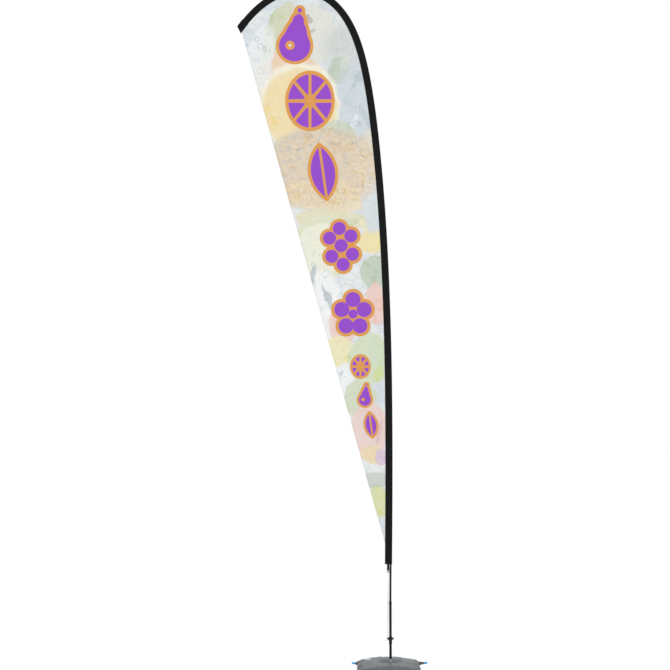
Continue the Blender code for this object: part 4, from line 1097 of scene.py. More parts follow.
# ---- flag -----------------------------------------------------------------------------------
@dataclass
class Flag:
    """The printed panel, the sleeve over the mast, its tip pocket, and the tab below.

    Args:
        sleeve_start: Lower end of the sleeve, along the mast.
        sleeve_end: Its upper end.
        radius: Of the sleeve round the mast.
        reach: From the mast's middle to the sleeve's sewn edge.
        web: From the mast's middle to where its two layers meet.
        web_half: Half the thickness of the two layers together.
        skew: Slope of the cut across its upper end.
        gather: Length over which the sleeve turns to that slope.
        pucker: Height of the folds where the sleeve is drawn round the hook.
        creep: Height of its slower unevenness.
        pocket: Length of the tip pocket down from the sleeve's end.
        pocket_past: How far the pocket goes past that end.
        pocket_grow: How far the pocket stands off the sleeve.
        pocket_cut: Length of the pocket's cloth as a share of the pocket; not used.
        pocket_cloth: Thickness of its cloth.
        panel_start: Lower corner of the panel, along the mast.
        panel_end: Its upper corner.
        panel_cut: Width and length of cloth that the panel is cut from; not used.
        panel_cloth: Thickness of its cloth.
        tuck: How far the panel goes in between the sleeve's layers.
        cloth: Thickness of the sleeve's cloth.
        ripple: Depth of the panel's waves.
        webbing: Thickness of the tab.
        punch: Radius of the hole through it.
    """

    sleeve_start: float = 0.602
    sleeve_end: float = 5.149
    radius: float = 0.0098
    reach: float = 0.037
    web: float = 0.024
    web_half: float = 0.0013
    skew: float = 0.53
    gather: float = 0.05
    pucker: float = 0.0011
    creep: float = 0.0007
    pocket: float = 0.062
    pocket_past: float = 0.0021
    pocket_grow: float = 0.0016
    pocket_cut: float = 1.15
    pocket_cloth: float = 0.0009
    panel_start: float = 0.727
    panel_end: float = 5.158
    panel_cut: Pair = (0.98, 3.66)
    panel_cloth: float = 0.0005
    tuck: float = 0.002
    cloth: float = 0.0007
    ripple: float = 0.0022
    webbing: float = 0.0015
    punch: float = 0.0043

    def section(self, grow: float = 0.0) -> list[Pair]:
        """The sleeve's outline from the seam, round the mast, back to the seam.

        Args:
            grow: How far it stands off the sleeve.

        Returns:
            Points as distances away from the flag and to the side.
        """
        radius, half = self.radius + grow, self.web_half + grow
        front = [(radius * math.cos(math.radians(a)), radius * math.sin(math.radians(a)))
                 for a in range(0, 106, 15)]
        back = [(-0.38 * self.web, 0.62 * radius), (-0.68 * self.web, 0.28 * radius + half * 0.4),
                (-self.web, half), (-self.reach - grow, half)]
        upper = front + back
        return [(out, -side) for out, side in reversed(upper[1:])] + upper

    def around(self, outline: list[Pair], share: float) -> Pair:
        """The point of an outline at a share of its length.

        Args:
            outline: Its points.
            share: From 0 to 1.

        Returns:
            The point.
        """
        steps = [math.dist(a, b) for a, b in zip(outline, outline[1:])]
        left = share * sum(steps)
        for a, b, step in zip(outline, outline[1:], steps):
            if left <= step:
                return (a[0] + (b[0] - a[0]) * left / step, a[1] + (b[1] - a[1]) * left / step)
            left -= step
        return outline[-1]

    def girth(self, outline: list[Pair]) -> float:
        """Length of an outline."""
        return sum(math.dist(a, b) for a, b in zip(outline, outline[1:]))

    def on_sleeve(self, outline: list[Pair], share: float, along: float, skew: float) -> Vector:
        """A point of the sleeve, with small puckers where it is drawn round the hook.

        Args:
            outline: The sleeve's outline.
            share: How far round that outline, from 0 to 1.
            along: Distance along the mast.
            skew: Slope of the cut there.

        Returns:
            The point.
        """
        out, side = self.around(outline, share)
        centre, ahead, outward = MAST.at(along)
        bend = (MAST.heading(along + 0.02) - MAST.heading(along - 0.02)) / 0.04
        slack = max(0.0, -out) / self.reach
        pucker = self.pucker * slack * (1.0 - slack) * 4.0 * (0.25 + min(1.0, abs(bend) / 2.5))
        wave = math.sin(along * 96.0 + 2.2 * math.sin(along * 13.0)) * (1.0 if side > 0 else -0.8)
        creep = noise.noise(Vector((along * 7.0, 3.0 * share, 0.0))) * self.creep * slack
        side += (pucker * 0.5 * (1.0 + wave) + creep) * (1.0 if side > 0 else -1.0)
        return centre + outward * out + Vector((0.0, side, 0.0)) - ahead * (skew * out)

    def wrapped(self, outline: list[Pair], start: float, length: float) -> Place:
        """Where cloth lies that is folded round a stretch of the mast.

        Args:
            outline: The cloth's outline.
            start: Where the stretch starts, along the mast.
            length: How long it is.

        Returns:
            A function of shares across and along the cloth that gives the point.
        """
        def place(across: float, along: float) -> Vector:
            """A point of the cloth for shares across and along.

            Args:
                across: Share across, from 0 to 1.
                along: Share along.

            Returns:
                The point.
            """
            s = start + along * length
            near_end = ramp(s, self.sleeve_end - self.gather, self.sleeve_end)
            return self.on_sleeve(outline, across, s, self.skew * near_end)

        return place

    def sleeve(self) -> None:
        """The black stretch sleeve, folded round the mast and sewn at its edge."""
        outline = self.section()
        girth, length = self.girth(outline), self.sleeve_end - self.sleeve_start
        place = self.wrapped(outline, self.sleeve_start, length)
        bm = cloth_grid(44, 620, place, lambda a, b: (a * girth, b * length))
        piece = finish_piece("pole_sleeve_cloth", bm, SLEEVE_CLOTH.material, "mast",
                             "black_sleeve_cloth", ("pole_sleeve",), 60.0)
        thicken(piece, self.cloth, -1.0)

    def tip_pocket(self) -> None:
        """The doubled cloth cup that takes the mast's tip."""
        outline = self.section(self.pocket_grow)
        start = self.sleeve_end - self.pocket
        length = self.pocket + self.pocket_past
        girth = self.girth(outline)
        place = self.wrapped(outline, start, length)
        bm = cloth_grid(36, 14, place, lambda a, b: (a * girth, b * length))
        bmesh.ops.remove_doubles(bm, verts=bm.verts, dist=1e-5)
        loop = [v for v in bm.verts if v.is_boundary]
        centre, ahead, _ = MAST.at(start + length)
        far = [v for v in loop if (v.co - centre).dot(ahead) > -0.022 and self.at_end(v.co, start + length)]
        ends = [e for e in bm.edges if e.is_boundary and e.verts[0] in far and e.verts[1] in far]
        closed = bmesh.ops.contextual_create(bm, geom=ends)
        bmesh.ops.triangulate(bm, faces=[f for f in closed["faces"] if len(f.verts) > 4])
        piece = finish_piece("tip_pocket_cloth", bm, SLEEVE_CLOTH.material, "mast",
                             "black_sleeve_cloth", ("tip_pocket",), 50.0)
        thicken(piece, self.pocket_cloth, -1.0)

    def at_end(self, spot: Vector, along: float) -> bool:
        """Whether a point lies on the pocket's skewed end.

        Args:
            spot: The point.
            along: Where that end is, along the mast.

        Returns:
            True within 2 mm of it.
        """
        centre, ahead, outward = MAST.at(along)
        away = spot - centre
        return abs(away.dot(ahead) + self.skew * away.dot(outward)) < 0.002

    def seam(self, along: float) -> Vector:
        """A point on the panel's sewn edge, tucked between the sleeve's two layers.

        Args:
            along: Distance along the mast.

        Returns:
            The point.
        """
        centre, _, outward = MAST.at(along)
        return centre - outward * (self.reach - self.tuck)

    def panel(self) -> None:
        """The printed panel: one sheet from the seam to its straight free edge."""
        low, high = self.seam(self.panel_start), self.seam(self.panel_end)
        length = self.panel_end - self.panel_start
        chord = (high - low).length

        def place(across: float, along: float) -> Vector:
            """A point of the panel for shares across and along.

            Args:
                across: Share across, from 0 to 1.
                along: Share along.

            Returns:
                The point.
            """
            sewn = self.seam(self.panel_start + along * length)
            free = low.lerp(high, along)
            spot = free.lerp(sewn, across)
            calm = min(1.0, (sewn - free).length / 0.3)
            swell = noise.noise(Vector((spot.x * 2.1, spot.z * 1.3, 4.0))) * 2.0
            pull = math.sin(along * 70.0 + 3.0 * noise.noise(spot * 3.0)) * math.exp(-6.0 * (1.0 - across))
            spot.y = self.ripple * calm * (swell * math.sin(math.pi * across) ** 0.6 + 0.22 * pull
                                           * math.sin(math.pi * across) ** 0.5)
            return spot

        def mapped(across: float, along: float) -> Pair:
            """Metres from the free edge, and along it.

            Args:
                across: Share across, from 0 to 1.
                along: Share along.

            Returns:
                Both.
            """
            sewn = self.seam(self.panel_start + along * length)
            return (across * (sewn - low.lerp(high, along)).length, along * chord)

        bm = cloth_grid(70, 460, place, mapped)
        bmesh.ops.remove_doubles(bm, verts=bm.verts, dist=1e-6)
        area = sum(face.calc_area() for face in bm.faces)
        piece = finish_piece("printed_panel", bm, PRINT.material, "mast", "printed_polyester",
                             ("flag_panel",), 180.0)
        thicken(piece, self.panel_cloth)

    def tab(self) -> None:
        """The webbing tab below the sleeve, with the eyelet's hole punched through it."""
        low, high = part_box("tail_tab")
        eye_low, eye_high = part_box("tail_eyelet")
        eye = (eye_low + eye_high) / 2
        size = high - low

        def place(across: float, along: float) -> Vector:
            """A point of the tab for shares across and along.

            Args:
                across: Share across, from 0 to 1.
                along: Share along.

            Returns:
                The point.
            """
            bow = 0.0002 * math.sin(along * 9.0)
            return Vector((low.x + across * size.x, bow, low.z + along * size.z))

        bm = cloth_grid(30, 106, place, lambda a, b: (a * size.x, b * size.z))
        middles = {face: face.calc_center_median() - eye for face in bm.faces}
        punched = [face for face, away in middles.items() if math.hypot(away.x, away.z) < self.punch]
        bmesh.ops.delete(bm, geom=punched, context="FACES")
        piece = finish_piece("tail_webbing", bm, WEBBING.material, "mast", "black_webbing", ("tail_tab",))
        thicken(piece, self.webbing)

    def build(self) -> None:
        """Make every cloth piece of the flag."""
        self.panel()
        self.sleeve()
        self.tip_pocket()
        self.tab()


# ---- tension cord -------------------------------------------------------------------------
# From the mast's middle to the hole in each of the collar's ears.
EAR_HOLE = 0.0150


@dataclass
class Tension:
    """The elastic loop from the collar's ear to the tab's eyelet, and its knot.

    Args:
        radius: Of the cord.
        collar: Height of the middle of the collar's ears.
        collar_top: How far above and below there the cord keeps straight.
        outer_leg: From the mast's middle to the leg of cord outside the ear.
        knot: From the knot's middle to where the cord leaves it.
        saddle: Radius of the cord's turn over the eyelet.
        eyelet_outer: From the eyelet's middle to that turn's middle.
        seat_gap: Gap between the loop's ends and the knot.
        tail: Length of the loose end.
        tail_drop: Degrees that it hangs below level.
        tail_sag: How far its middle hangs below that line.
        stretch_from: From the eyelet's middle down to where the loop starts to stretch; not used.
    """

    radius: float = 0.0015
    collar: float = 0.2546
    collar_top: float = 0.0125
    outer_leg: float = 0.0228
    knot: float = 0.0034
    saddle: float = 0.0046
    eyelet_outer: float = 0.0055
    seat_gap: float = 0.0003
    tail: float = 0.020
    tail_drop: float = 8.0
    tail_sag: float = 0.0011
    stretch_from: float = 0.012

    def eyelet(self) -> Vector:
        """Centre of the tab's eyelet."""
        low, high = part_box("tail_eyelet")
        return (low + high) / 2

    def route(self) -> list[Vector]:
        """Points of the loop, from the knot up, through the eyelet and down again."""
        knot = Vector((-self.outer_leg, 0.0, self.collar - self.collar_top))
        reach = self.knot + self.seat_gap
        under = self.eyelet() - Vector((0.0, 0.0, self.eyelet_outer))
        over = []
        for i in range(7):
            angle = math.pi * i / 6
            over.append(under + Vector((0.0, -math.cos(angle), math.sin(angle))) * self.saddle)
        outer_top = Vector((-self.outer_leg, 0.0, self.collar + self.collar_top))
        inner_top = Vector((-EAR_HOLE, 0.0, self.collar + self.collar_top))
        rise = [outer_top.lerp(over[0], i / 6) for i in range(1, 6)]
        fall = [over[-1].lerp(inner_top, i / 6) for i in range(1, 6)]
        start = [knot + Vector((0, 0, reach)), Vector((-self.outer_leg, 0.0, self.collar)), outer_top]
        below = self.collar - self.collar_top + reach
        turn_in = reach + 0.3 * (self.outer_leg - EAR_HOLE)
        back = [inner_top, Vector((-EAR_HOLE, 0.0, self.collar)), Vector((-EAR_HOLE, 0.0, below)),
                knot + Vector((turn_in, 0.0, 0.001)), knot + Vector((reach, 0.0, 0.0))]
        return start + rise + over + fall + back

    def smooth(self, route: list[Vector], pieces: int) -> list[Vector]:
        """A smooth line through a route.

        Args:
            route: Points that the cord passes.
            pieces: Steps between one of them and the next.

        Returns:
            Points of the line.
        """
        ends = [2 * route[0] - route[1]] + route + [2 * route[-1] - route[-2]]
        points = []
        for a, b, c, d in zip(ends, ends[1:], ends[2:], ends[3:]):
            for i in range(pieces):
                points.append(curved(a, b, c, d, i / pieces))
        return points + [route[-1]]

    def tube(self, points: list[Vector], radius: float) -> bmesh.types.BMesh:
        """A round cord along points, its ends closed.

        Args:
            points: The middle of the cord.
            radius: Its radius.

        Returns:
            The cord as a closed shape.
        """
        curve = bpy.data.curves.new("cord_line", "CURVE")
        curve.dimensions = "3D"
        curve.bevel_depth = radius
        curve.bevel_resolution = 3
        curve.use_fill_caps = True
        spline = curve.splines.new("POLY")
        spline.points.add(len(points) - 1)
        for point, place in zip(spline.points, points):
            point.co = (*place, 1.0)
        holder = bpy.data.objects.new("cord_line", curve)
        bpy.context.scene.collection.objects.link(holder)
        graph = bpy.context.evaluated_depsgraph_get()
        mesh = bpy.data.meshes.new_from_object(holder.evaluated_get(graph))
        bm = bmesh.new()
        bm.from_mesh(mesh)
        bpy.data.objects.remove(holder)
        bpy.data.meshes.remove(mesh)
        return bm

    def cord(self) -> None:
        """The loop itself, from the knot up through the tab's eyelet and back down."""
        route = self.route()
        points = self.smooth(route, 6)
        bm = self.tube(points, self.radius)
        piece = finish_piece("elastic_loop", bm, ELASTIC.material, "collar", "white_elastic",
                             ("tension_cord",), 60.0)
        length = sum((b - a).length for a, b in zip(points, points[1:]))
        log.info("elastic loop is %.3f m long", length)
        tuple(points[0])
        [tuple(p) for p in points]
        piece.parent = None
        del piece["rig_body"]
        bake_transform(piece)

    def tied_knot(self) -> None:
        """The knot under the ear and its short tail."""
        centre = Vector((-self.outer_leg, 0.0, self.collar - self.collar_top))
        line = []
        for i in range(40):
            t = math.tau * i / 40
            x, y, z = math.sin(t) + 2 * math.sin(2 * t), math.cos(t) - 2 * math.cos(2 * t), -math.sin(3 * t)
            line.append(centre + Vector((x, z * 1.1, y)) * (self.knot - self.radius * 0.75) / 3.0)
        bm = self.tube(line + [line[0]], self.radius * 0.8)
        finish_piece("elastic_knot", bm, ELASTIC.material, "collar", "white_elastic", ("cord_knot",), 60.0)
        drop = math.radians(self.tail_drop)
        away = Vector((-math.cos(drop), 0.0, -math.sin(drop)))
        bend = [centre + away * self.tail * i / 8 + Vector((0, 0, -self.tail_sag)) * math.sin(math.pi * i / 8)
                for i in range(9)]
        bm = self.tube(bend, self.radius * 0.9)
        finish_piece("elastic_tail", bm, ELASTIC.material, "collar", "white_elastic", (), 60.0)

    def build(self) -> None:
        """Make the loop and its knot."""
        self.cord()
        self.tied_knot()


# ---- foot tube and base hardware ----------------------------------------------------------
@dataclass
class Hardware:
    """Bars, feet, foot tube and collar, and the finishes of the other hard nodes.

    Args:
        softened: Nodes whose edges are rounded, with the body of each.
        bar_edge: Width taken off a bar's edges.
        foot_edge: Width taken off a foot's edges.
        dressed: Nodes shown as they are, by finish.
        tube: Outer and inner radius of the foot tube.
        bore: Radius of the collar's bore.
        barrel: Outer radius of the collar.
        swell: Height of its swollen band at the ears, over the barrel.
        ear: Outer radius of an ear.
        ear_bore: Radius of its hole.
        ear_tall: Its height.
        ear_below_top: From the collar's top to the middle of its ears.
        ear_edge: Width taken off an ear's edges.
    """

    softened: dict[str, str] = field(default_factory=lambda: {
        "fixed_bar": "base", "swing_bar": "swing", "foot_left": "base", "foot_right": "base",
        "foot_front": "swing", "foot_back": "swing"})
    bar_edge: float = 0.0008
    foot_edge: float = 0.0018
    dressed: tuple[tuple[Finish, tuple[str, ...]], ...] = (
        (FOOT_RUBBER, ("centre_pad",)),
        (ZINC, ("pivot_bolt", "spring_washer", "clamp_nut", "axle_nut")),
        (NYLON, ("bar_washer",)),
        (GROUND_STEEL, ("shim_ring", "inner_ring_lower", "inner_ring_upper", "outer_ring_lower",
                        "outer_ring_upper", "retaining_ring", "spindle_rod")),
        (TURNED_ALLOY, ("inner_spacer", "outer_spacer", "spindle_hub")),
        (BRASS, ("ball_cage_lower", "ball_cage_upper")),
        (FIBRE, ("pole_2", "pole_3", "pole_4", "pole_5")),
        (BLACK_STEEL, ("band_1", "band_2", "band_3", "band_4")),
        (BLACK_MOULD, ("tip_cap",)),
        (NICKEL, ("tail_eyelet",)),
        (SEAL, ("cap_seal_left", "cap_seal_right")))
    tube: Pair = (0.00825, 0.00705)
    bore: float = 0.0083
    barrel: float = 0.0102
    swell: float = 0.0026
    ear: float = 0.0055
    ear_bore: float = 0.0021
    ear_tall: float = 0.0120
    ear_below_top: float = 0.0125
    ear_edge: float = 0.0014

    def dress(self) -> None:
        """Give each hard node its finish."""
        for finish, names in self.dressed:
            for name in names:
                node = frame["nodes"][name]
                node.data.materials.clear()
                node.data.materials.append(finish.material)
                log.info("dressed %s in %s", name, finish.name)

    def soften(self) -> None:
        """Bars and feet with their sharp edges rounded, each from a merged copy of its node."""
        for name, body in self.softened.items():
            bm = bmesh.new()
            bm.from_mesh(frame["nodes"][name].data)
            bmesh.ops.remove_doubles(bm, verts=bm.verts, dist=1e-6)
            bmesh.ops.dissolve_limit(bm, angle_limit=math.radians(1.0), verts=bm.verts, edges=bm.edges)
            finish, slot, width = POWDER_COAT, "powder_coated_steel", self.bar_edge
            if name.startswith("foot"):
                finish, slot, width = FOOT_RUBBER, "foot_rubber", self.foot_edge
            rounded(bm, sharp_edges(bm, 1.0), width, 3)
            piece = finish_piece("rounded_" + name, bm, finish.material, body, slot, (name,))
            flat = piece.modifiers.new("flat", "WEIGHTED_NORMAL")
            flat.keep_sharp = True

    def foot_tube(self) -> None:
        """The black tube that stands on the spindle."""
        low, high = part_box("foot_tube")
        outer, inner = self.tube
        profile = [(inner, low.z), (outer, low.z), (outer, high.z), (inner, high.z)]
        bm = turned(profile, 48, 0.0003)
        finish_piece("foot_tube_body", bm, BLACK_ALLOY.material, "mast", "anodised_tube", ("foot_tube",))

    def collar(self) -> None:
        """The sliding collar: a turned barrel, swollen at the height of its two holed ears."""
        low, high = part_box("tension_collar")
        ears = high.z - self.ear_below_top
        widest = self.barrel + self.swell
        profile = [(self.bore, low.z), (self.barrel, low.z), (self.barrel, ears - 0.0130),
                   (widest - 0.0008, ears - 0.0080), (widest, ears - 0.0030), (widest, ears + 0.0030),
                   (widest - 0.0010, ears + 0.0075), (self.barrel, ears + 0.0105), (self.barrel, high.z),
                   (self.bore, high.z)]
        bm = turned(profile, 48, 0.0004)
        finish_piece("collar_barrel", bm, BLACK_MOULD.material, "collar", "collar_plastic",
                     ("tension_collar",))
        for side, turn in (("left", math.pi), ("right", 0.0)):
            bm = self.ear_plate()
            place = Matrix.Rotation(turn, 4, "Z") @ Matrix.Translation((EAR_HOLE, 0.0, ears))
            bmesh.ops.transform(bm, matrix=place, verts=bm.verts)
            finish_piece("collar_ear_" + side, bm, BLACK_MOULD.material, "collar", "collar_plastic")

    def ear_plate(self) -> bmesh.types.BMesh:
        """One ear, centred on its hole, widening towards the barrel on its -X side."""
        bm = bmesh.new()
        bmesh.ops.create_circle(bm, segments=36, radius=self.ear_bore)
        rim = bmesh.ops.create_circle(bm, segments=36, radius=self.ear)["verts"]
        for vert in rim:
            inward = max(0.0, -vert.co.x / self.ear)
            vert.co.x -= self.ear * 0.45 * inward
            vert.co.y *= 1.0 + 0.55 * inward
        plate = bmesh.ops.bridge_loops(bm, edges=bm.edges[:])
        raised = bmesh.ops.extrude_face_region(bm, geom=plate["faces"])
        top = [part for part in raised["geom"] if isinstance(part, bmesh.types.BMVert)]
        bmesh.ops.translate(bm, vec=(0.0, 0.0, self.ear_tall), verts=top)
        bmesh.ops.translate(bm, vec=(0.0, 0.0, -self.ear_tall / 2), verts=bm.verts)
        bmesh.ops.recalc_face_normals(bm, faces=bm.faces)
        beyond_hole = 1.2 * self.ear_bore + self.ear_tall / 2
        outside = [e for e in sharp_edges(bm, 1.0) if e.verts[0].co.length > beyond_hole]
        rounded(bm, outside, self.ear_edge, 3)
        return bm

    def build(self) -> None:
        """Dress the nodes, then make the bars, feet, foot tube and collar."""
        self.dress()
        self.soften()
        self.foot_tube()
        self.collar()


# ---- water bag ---------------------------------------------------------------------------
@dataclass
class WaterBag:
    """The filled bag: creased film, welded corners, fillers, caps and a blank patch.

    Args:
        half: Half its width.
        squareness: Power of its outline, 2 for a circle and more for a squarer one.
        shift: Its middle's place in X.
        hole: Radius of its centre hole.
        low: Height of its underside.
        high: Height of its top.
        spout: Height of its weld and fillers.
        spout_angle: Degrees from the X axis that a filler points.
        boot_root: From a corner's weld to the foot of its boot.
        corner_reach: From the bag's middle to a corner's weld, in X and in Y.
        boot_sunk: How far a boot goes into the film.
        boots: Length of each boot.
        stem: Inner and outer radius of a filler's stem.
        stem_length: How far the stem stands out of the boot.
        cap_gap: Gap between a boot and its cap.
        ribs: Ribs round a cap.
        rib: Radius of a rib as a share of the cap's.
        hole_folds: Height of the folds that run out from the hole.
        corner_tucks: Height of the tucks at the corners.
        shoulder_folds: Height of the folds over the shoulder.
        rumple: Height of the film's slow unevenness.
        voxel: Cell of the even mesh that is filled.
        pressure: Of the water, as the simulation counts it.
        slack: Share by which the film can grow.
        film_mass: Mass of one of its points in the simulation, in kilograms.
        film_bend: Stiffness of its folds.
        swell: Room kept under the top for the filled film to rise into.
        quick_swell: The same room where the film isn't filled; not used.
        hole_hold: How far out from the hole the film is held.
        bar_hold: How far up from the bars it is held.
        weld_hold: How far from the weld it is held, up or down and inwards.
        corner_droop: Share by which a corner's top is lower.
        steps: Frames of the simulation.
        cap: Furthest that a point may move.
        weld_width: Width of the weld, and where it starts, inside the outline if negative.
        weld_wave: Height of its waves.
        weld_film: Thickness of the weld.
        patch_gap: How far the patch lies off the film.
        patch_film: Thickness of the patch.
        profile: Outline of the film, up the hole, over the top, down the edge and back under,
            as shares out and up.
    """

    half: float = 0.199
    squareness: float = 7.5
    shift: float = -0.012
    hole: float = 0.030
    low: float = 0.0199
    high: float = 0.117
    spout: float = 0.0675
    spout_angle: float = 22.5
    boot_root: float = 0.0603
    corner_reach: float = 0.140
    boot_sunk: float = 0.010
    boots: dict[str, float] = field(default_factory=lambda: {"left": 0.017, "right": 0.046})
    stem: Pair = (0.0032, 0.0052)
    stem_length: float = 0.013
    cap_gap: float = 0.0003
    ribs: int = 20
    rib: float = 1.035
    hole_folds: float = 0.0022
    corner_tucks: float = 0.0024
    shoulder_folds: float = 0.0016
    rumple: float = 0.0030
    voxel: float = 0.0055
    pressure: float = 4.0
    slack: float = 0.05
    film_mass: float = 0.12
    film_bend: float = 0.4
    swell: float = 0.0125
    quick_swell: float = 0.0022
    hole_hold: float = 0.006
    bar_hold: float = 0.005
    weld_hold: Pair = (0.0035, 0.012)
    corner_droop: float = 0.20
    steps: int = 20
    cap: float = 0.009
    weld_width: Pair = (0.0075, -0.003)
    weld_wave: float = 0.0012
    weld_film: float = 0.0012
    patch_gap: float = 0.0009
    patch_film: float = 0.0005
    profile: tuple[Pair, ...] = (
        (0.0, 0.12), (0.0, 0.78), (0.025, 0.90), (0.09, 0.945), (0.26, 0.985), (0.52, 0.998),
        (0.78, 0.975), (0.90, 0.945), (0.965, 0.89), (0.995, 0.74), (1.002, 0.52), (0.998, 0.30),
        (0.965, 0.11), (0.89, 0.022), (0.52, 0.0), (0.10, 0.004), (0.02, 0.03))

    def edge(self, angle: float) -> Vector:
        """The bag's outline.

        Args:
            angle: Round the mast, in radians.

        Returns:
            The point of the outline at that angle, at no height.
        """
        c, s = abs(math.cos(angle)), abs(math.sin(angle))
        reach = self.half / (c ** self.squareness + s ** self.squareness) ** (1.0 / self.squareness)
        return Vector((reach * math.cos(angle) + self.shift, reach * math.sin(angle), 0.0))

    def around(self, share: float) -> Pair:
        """The bag's profile.

        Args:
            share: How far along its closed line, from 0 to 1.

        Returns:
            Shares out and up.
        """
        count = len(self.profile)
        spot = share * count
        i = int(spot) % count
        near = [Vector(self.profile[(i + k) % count]) for k in (-1, 0, 1, 2)]
        made = curved(*near, spot - int(spot))
        return made.x, made.y

    def crease(self, angle: float, out: float, rise: float) -> float:
        """How far the film stands proud of its smooth shape.

        Args:
            angle: Round the mast, in radians.
            out: Share of the way from the hole to the edge.
            rise: Share of the way from the underside to the top.

        Returns:
            A height in metres.
        """
        top = ramp(rise, 0.55, 0.85)
        near_hole = math.exp(-((out * 0.17) / 0.045) ** 2)
        folds = math.cos(13.0 * angle + 1.7 * math.sin(3.0 * angle)) + 0.5 * math.cos(23.0 * angle + 1.0)
        corner = abs(math.sin(2.0 * angle)) ** 6
        tucks = math.cos(46.0 * angle + 2.0 * math.sin(5.0 * angle))
        side = math.exp(-((out - 1.0) / 0.16) ** 2)
        shoulder = side * math.exp(-((rise - 0.86) / 0.22) ** 2)
        slack = noise.noise(Vector((5.0 * math.cos(angle) * out, 5.0 * math.sin(angle) * out, 2.0 + rise)))
        waves = math.cos(31.0 * angle + 2.5 * math.sin(2.0 * angle))
        return (self.hole_folds * top * near_hole * folds * min(1.0, out * 14.0)
                + self.corner_tucks * corner * side * tucks
                + self.shoulder_folds * shoulder * waves + self.rumple * slack)

    def film(self) -> bpy.types.Object:
        """The filled bag itself, a closed ring of film round its centre hole."""
        top = self.high - self.swell

        def place(across: float, along: float) -> Vector:
            """A point of the film for shares round the hole and round the profile.

            Args:
                across: Share of the way round the hole.
                along: Share of the way round the profile.

            Returns:
                The point.
            """
            angle = math.tau * across
            out, rise = self.around(along)
            edge = self.edge(angle)
            inner = radial(angle) * self.hole
            corner = ramp(abs(math.sin(2.0 * angle)), 0.55, 1.0) ** 2
            droop = 1.0 - self.corner_droop * corner * max(0.0, out) ** 2 if rise > 0.4 else 1.0
            spot = inner.lerp(edge, out)
            spot.z = self.low + (top - self.low) * rise * droop
            proud = self.crease(angle, out, rise) * ramp(rise, 0.04, 0.24)
            up = ramp(1.0 - out, 0.0, 0.14) * ramp(rise, 0.5, 0.7)
            sideways = (1.0 - up) * ramp(out, 0.5, 0.8)
            away = Vector((math.cos(angle) * sideways, math.sin(angle) * sideways, up))
            return spot + away * proud

        bm = cloth_grid(288, 104, place, lambda a, b: (a * 1.4, b * 0.6))
        bmesh.ops.remove_doubles(bm, verts=bm.verts, dist=1e-5)
        bmesh.ops.recalc_face_normals(bm, faces=bm.faces)
        bm = self.filled(bm)
        piece = finish_piece("filled_bag", bm, BAG_FILM.material, "bag", "grey_pvc_film",
                             ("water_bag",), 180.0)
        return piece

    def held(self, spot: Vector) -> float:
        """How firmly a point of the film is held.

        Args:
            spot: The point.

        Returns:
            1 on its welds and where it lies on the bars, and 0 elsewhere.
        """
        flat = Vector((spot.x, spot.y, 0.0))
        if flat.length < self.hole + self.hole_hold or spot.z < self.low + self.bar_hold:
            return 1.0
        edge = self.edge(math.atan2(spot.y, spot.x - self.shift))
        middle = Vector((self.shift, 0.0, 0.0))
        beside = (edge - middle).length - (flat - middle).length
        high, deep = self.weld_hold
        return 1.0 if abs(spot.z - self.spout) < high and beside < deep else 0.0

    def filled(self, bm: bmesh.types.BMesh) -> bmesh.types.BMesh:
        """Press the film outwards as water does, so that it pulls into folds at its welds.

        Args:
            bm: The bag's plain form, freed here.

        Returns:
            The filled film, no point further than the cap from the plain form.
        """
        scene = bpy.context.scene
        plain = bpy.data.meshes.new("bag_form")
        bm.to_mesh(plain)
        bm.free()
        form = bpy.data.objects.new("bag_form", plain)
        scene.collection.objects.link(form)
        even = form.modifiers.new("even", "REMESH")
        even.mode = "VOXEL"
        even.voxel_size = self.voxel
        graph = bpy.context.evaluated_depsgraph_get()
        form.data = bpy.data.meshes.new_from_object(form.evaluated_get(graph))
        form.modifiers.clear()
        starts = [vert.co.copy() for vert in form.data.vertices]
        welds = form.vertex_groups.new(name="welds")
        for index, spot in enumerate(starts):
            welds.add([index], self.held(spot), "REPLACE")
        film = form.modifiers.new("film", "CLOTH")
        film.settings.vertex_group_mass = "welds"
        film.settings.quality = 6
        film.settings.mass = self.film_mass
        film.settings.bending_stiffness = self.film_bend
        film.settings.shrink_min = -self.slack
        film.settings.use_pressure = True
        film.settings.uniform_pressure_force = self.pressure
        film.settings.effector_weights.gravity = 0.0
        for step in range(1, self.steps + 1):
            scene.frame_set(step)
        graph = bpy.context.evaluated_depsgraph_get()
        pressed = bpy.data.meshes.new_from_object(form.evaluated_get(graph))
        made = bmesh.new()
        made.from_mesh(pressed)
        for vert, start in zip(made.verts, starts):
            move = vert.co - start
            vert.co = start + move * min(1.0, self.cap / max(move.length, 1e-9))
        bpy.data.objects.remove(form)
        scene.frame_set(1)
        bmesh.ops.subdivide_edges(made, edges=made.edges, cuts=1, use_grid_fill=True, smooth=0.6)
        return made

    def weld(self) -> None:
        """The flat welded seam round the bag at half height."""
        width, start = self.weld_width

        def place(across: float, along: float) -> Vector:
            """A point of the seam for shares round the bag and across the weld.

            Args:
                across: Share of the way round the bag.
                along: Share of the way across the weld.

            Returns:
                The point.
            """
            angle = math.tau * across
            wave = self.weld_wave * math.sin(38.0 * angle) * along
            rise = Vector((0.0, 0.0, self.spout + wave))
            return self.edge(angle) + radial(angle) * (start + width * along) + rise

        bm = cloth_grid(288, 3, place, lambda a, b: (a * 1.5, b * 0.01))
        bmesh.ops.remove_doubles(bm, verts=bm.verts, dist=1e-5)
        piece = finish_piece("bag_weld", bm, BAG_FILM.material, "bag", "grey_pvc_film")
        thicken(piece, self.weld_film)

    def patch(self, bag: bpy.types.Object) -> None:
        """The blank film patch, laid over the bag's top.

        Args:
            bag: The film that it lies on.
        """
        bm = bmesh.new()
        bm.from_mesh(bag.data)
        tree = BVHTree.FromBMesh(bm)
        bm.free()
        low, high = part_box("bag_label")
        size = high - low

